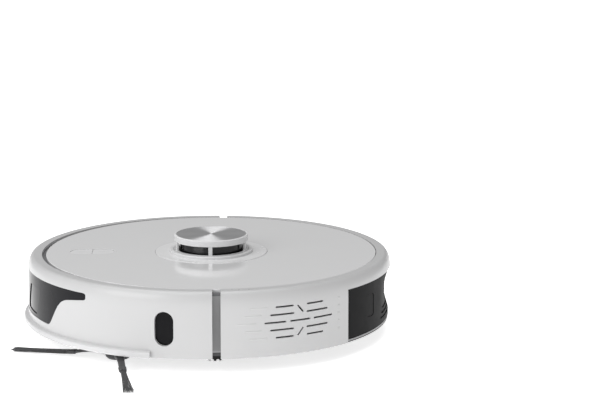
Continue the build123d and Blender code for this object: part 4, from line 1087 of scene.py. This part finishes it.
class ROBOVAC_OT_key_marks(bpy.types.Operator):
    """Make the power and home marks on the keys"""

    bl_idname = "robovac.key_marks"
    bl_label = "Key marks"

    def execute(self, context):
        for node in ("power_button", "home_button"):
            shape = bmesh.new()
            centre = box_centre(node)
            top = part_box(node)[1][2]
            low, high = top - KEY_SUNK, top + KEY_PROUD
            if node == "power_button":
                arc = []
                for i in range(25):
                    angle = math.radians(35 + 290 * i / 24)
                    ahead, aside = POWER_RING * math.cos(angle), POWER_RING * math.sin(angle)
                    arc.append((centre.x + ahead, centre.y + aside))
                flat_stroke(shape, arc, KEY_STROKE, low, high)
                bar = [(centre.x + end, centre.y) for end in POWER_BAR]
                flat_stroke(shape, bar, KEY_STROKE, low, high)
            else:
                outline = [(centre.x + x * MM, centre.y + y * MM) for x, y in HOME_OUTLINE]
                flat_stroke(shape, outline, KEY_STROKE, low, high, closed=True)
            mark = from_bmesh(node + "_mark", shape, finish_of("lip_soft"), 30.0)
            rest_on(mark, node, "lip_soft")
        return {"FINISHED"}


def aim(thing, target):
    """Turns a camera or light towards a point."""
    thing.rotation_mode = "QUATERNION"
    thing.rotation_quaternion = (Vector(target) - thing.location).to_track_quat("-Z", "Y")


def area_light(name, place, target, width, height, power):
    """A soft rectangular light."""
    lamp = bpy.data.lights.new(name, "AREA")
    lamp.shape = "RECTANGLE"
    lamp.size = width
    lamp.size_y = height
    lamp.energy = power
    made = bpy.data.objects.new(name, lamp)
    bpy.context.scene.collection.objects.link(made)
    made.location = place
    aim(made, target)
    return made


class ROBOVAC_OT_stage(bpy.types.Operator):
    """Make the floor, the lights and the camera"""

    bl_idname = "robovac.stage"
    bl_label = "Stage"

    def execute(self, context):
        scene = context.scene
        studio = scene.robot_vacuum.studio
        self.make_floor()
        world = bpy.data.worlds.new("Studio sky")
        scene.world = world
        world.use_nodes = True
        sky = world.node_tree.nodes["Background"]
        sky.inputs["Color"].default_value = (1.0, 1.0, 1.0, 1.0)
        sky.inputs["Strength"].default_value = studio.sky
        area_light("key_light", (2.2, 2.0, 1.3), (0, 0, 0.05), 2.2, 1.6, studio.key_power)
        area_light("top_light", (0.3, 0.2, 2.4), (0, 0, 0), 2.4, 2.4, studio.top_power)
        scene.view_settings.view_transform = "Standard"
        self.make_camera(scene, studio)
        return {"FINISHED"}

    def make_floor(self):
        """A wide round floor, pale and matte, with a glow that keeps shadows light."""
        shape = bmesh.new()
        bmesh.ops.create_circle(shape, cap_ends=True, segments=96, radius=14.0)
        for vert in shape.verts:
            vert.co.z = -0.2 * MM
        finish = Finish(
            "studio_floor", Roughness=0.9, Specular_IOR_Level=0.1,
            Emission_Color=(1.0, 1.0, 1.0, 1.0), Emission_Strength=0.74,
        )
        tone = finish.noise(0.6, 2.0)
        finish.paint("Base Color", finish.mix(tone, (0.94, 0.94, 0.94, 1.0), (0.96, 0.96, 0.96, 1.0)))
        mesh = bpy.data.meshes.new("studio_floor")
        shape.to_mesh(mesh)
        shape.free()
        as_object("studio_floor", mesh, finish.material)

    def make_camera(self, scene, studio):
        """The camera, level, with its aim beside and over the plate's centre."""
        centre = Vector((0.0, 0.0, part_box("top_plate")[1][2]))
        flat = Vector((-math.sin(studio.turn), math.cos(studio.turn), 0.0))
        towards = flat * math.cos(studio.elevation) + Vector((0, 0, math.sin(studio.elevation)))
        right = Vector((-math.cos(studio.turn), -math.sin(studio.turn), 0.0))
        up = towards.cross(right)
        lens = bpy.data.cameras.new("camera")
        lens.lens = studio.lens
        lens.sensor_width = 36.0
        lens.clip_end = 60.0
        camera = bpy.data.objects.new("camera", lens)
        scene.collection.objects.link(camera)
        camera.location = centre + towards * studio.distance
        aim(camera, centre + right * studio.aim_right + up * studio.aim_up)
        scene.camera = camera


class ROBOVAC_PT_panel(bpy.types.Panel):
    """Lists the settings and the operators"""

    bl_idname = "ROBOVAC_PT_panel"
    bl_label = "Robot Vacuum"
    bl_space_type = "VIEW_3D"
    bl_region_type = "UI"
    bl_category = "Robot Vacuum"

    def draw(self, context):
        settings = context.scene.robot_vacuum
        for group in (settings.colours, settings.sizes, settings.studio):
            column = self.layout.column(align=True)
            for name in group.__annotations__:
                column.prop(group, name)
        for operator in OPERATORS:
            self.layout.operator(operator.bl_idname)


GROUPS = (VacuumColours, VacuumSizes, VacuumStudio, VacuumSettings)
OPERATORS = (
    ROBOVAC_OT_finishes,
    ROBOVAC_OT_side_brush,
    ROBOVAC_OT_roller,
    ROBOVAC_OT_springs,
    ROBOVAC_OT_screws,
    ROBOVAC_OT_wall_marks,
    ROBOVAC_OT_key_marks,
    ROBOVAC_OT_stage,
)


def register():
    for kind in (*GROUPS, *OPERATORS, ROBOVAC_PT_panel):
        bpy.utils.register_class(kind)
    bpy.types.Scene.robot_vacuum = bpy.props.PointerProperty(type=VacuumSettings)


def unregister():
    del bpy.types.Scene.robot_vacuum
    for kind in reversed((*GROUPS, *OPERATORS, ROBOVAC_PT_panel)):
        bpy.utils.unregister_class(kind)


def main():
    """Makes everything in order."""
    register()
    for operator in OPERATORS:
        family, name = operator.bl_idname.split(".")
        getattr(getattr(bpy.ops, family), name)()


if __name__ == "__main__":
    main()
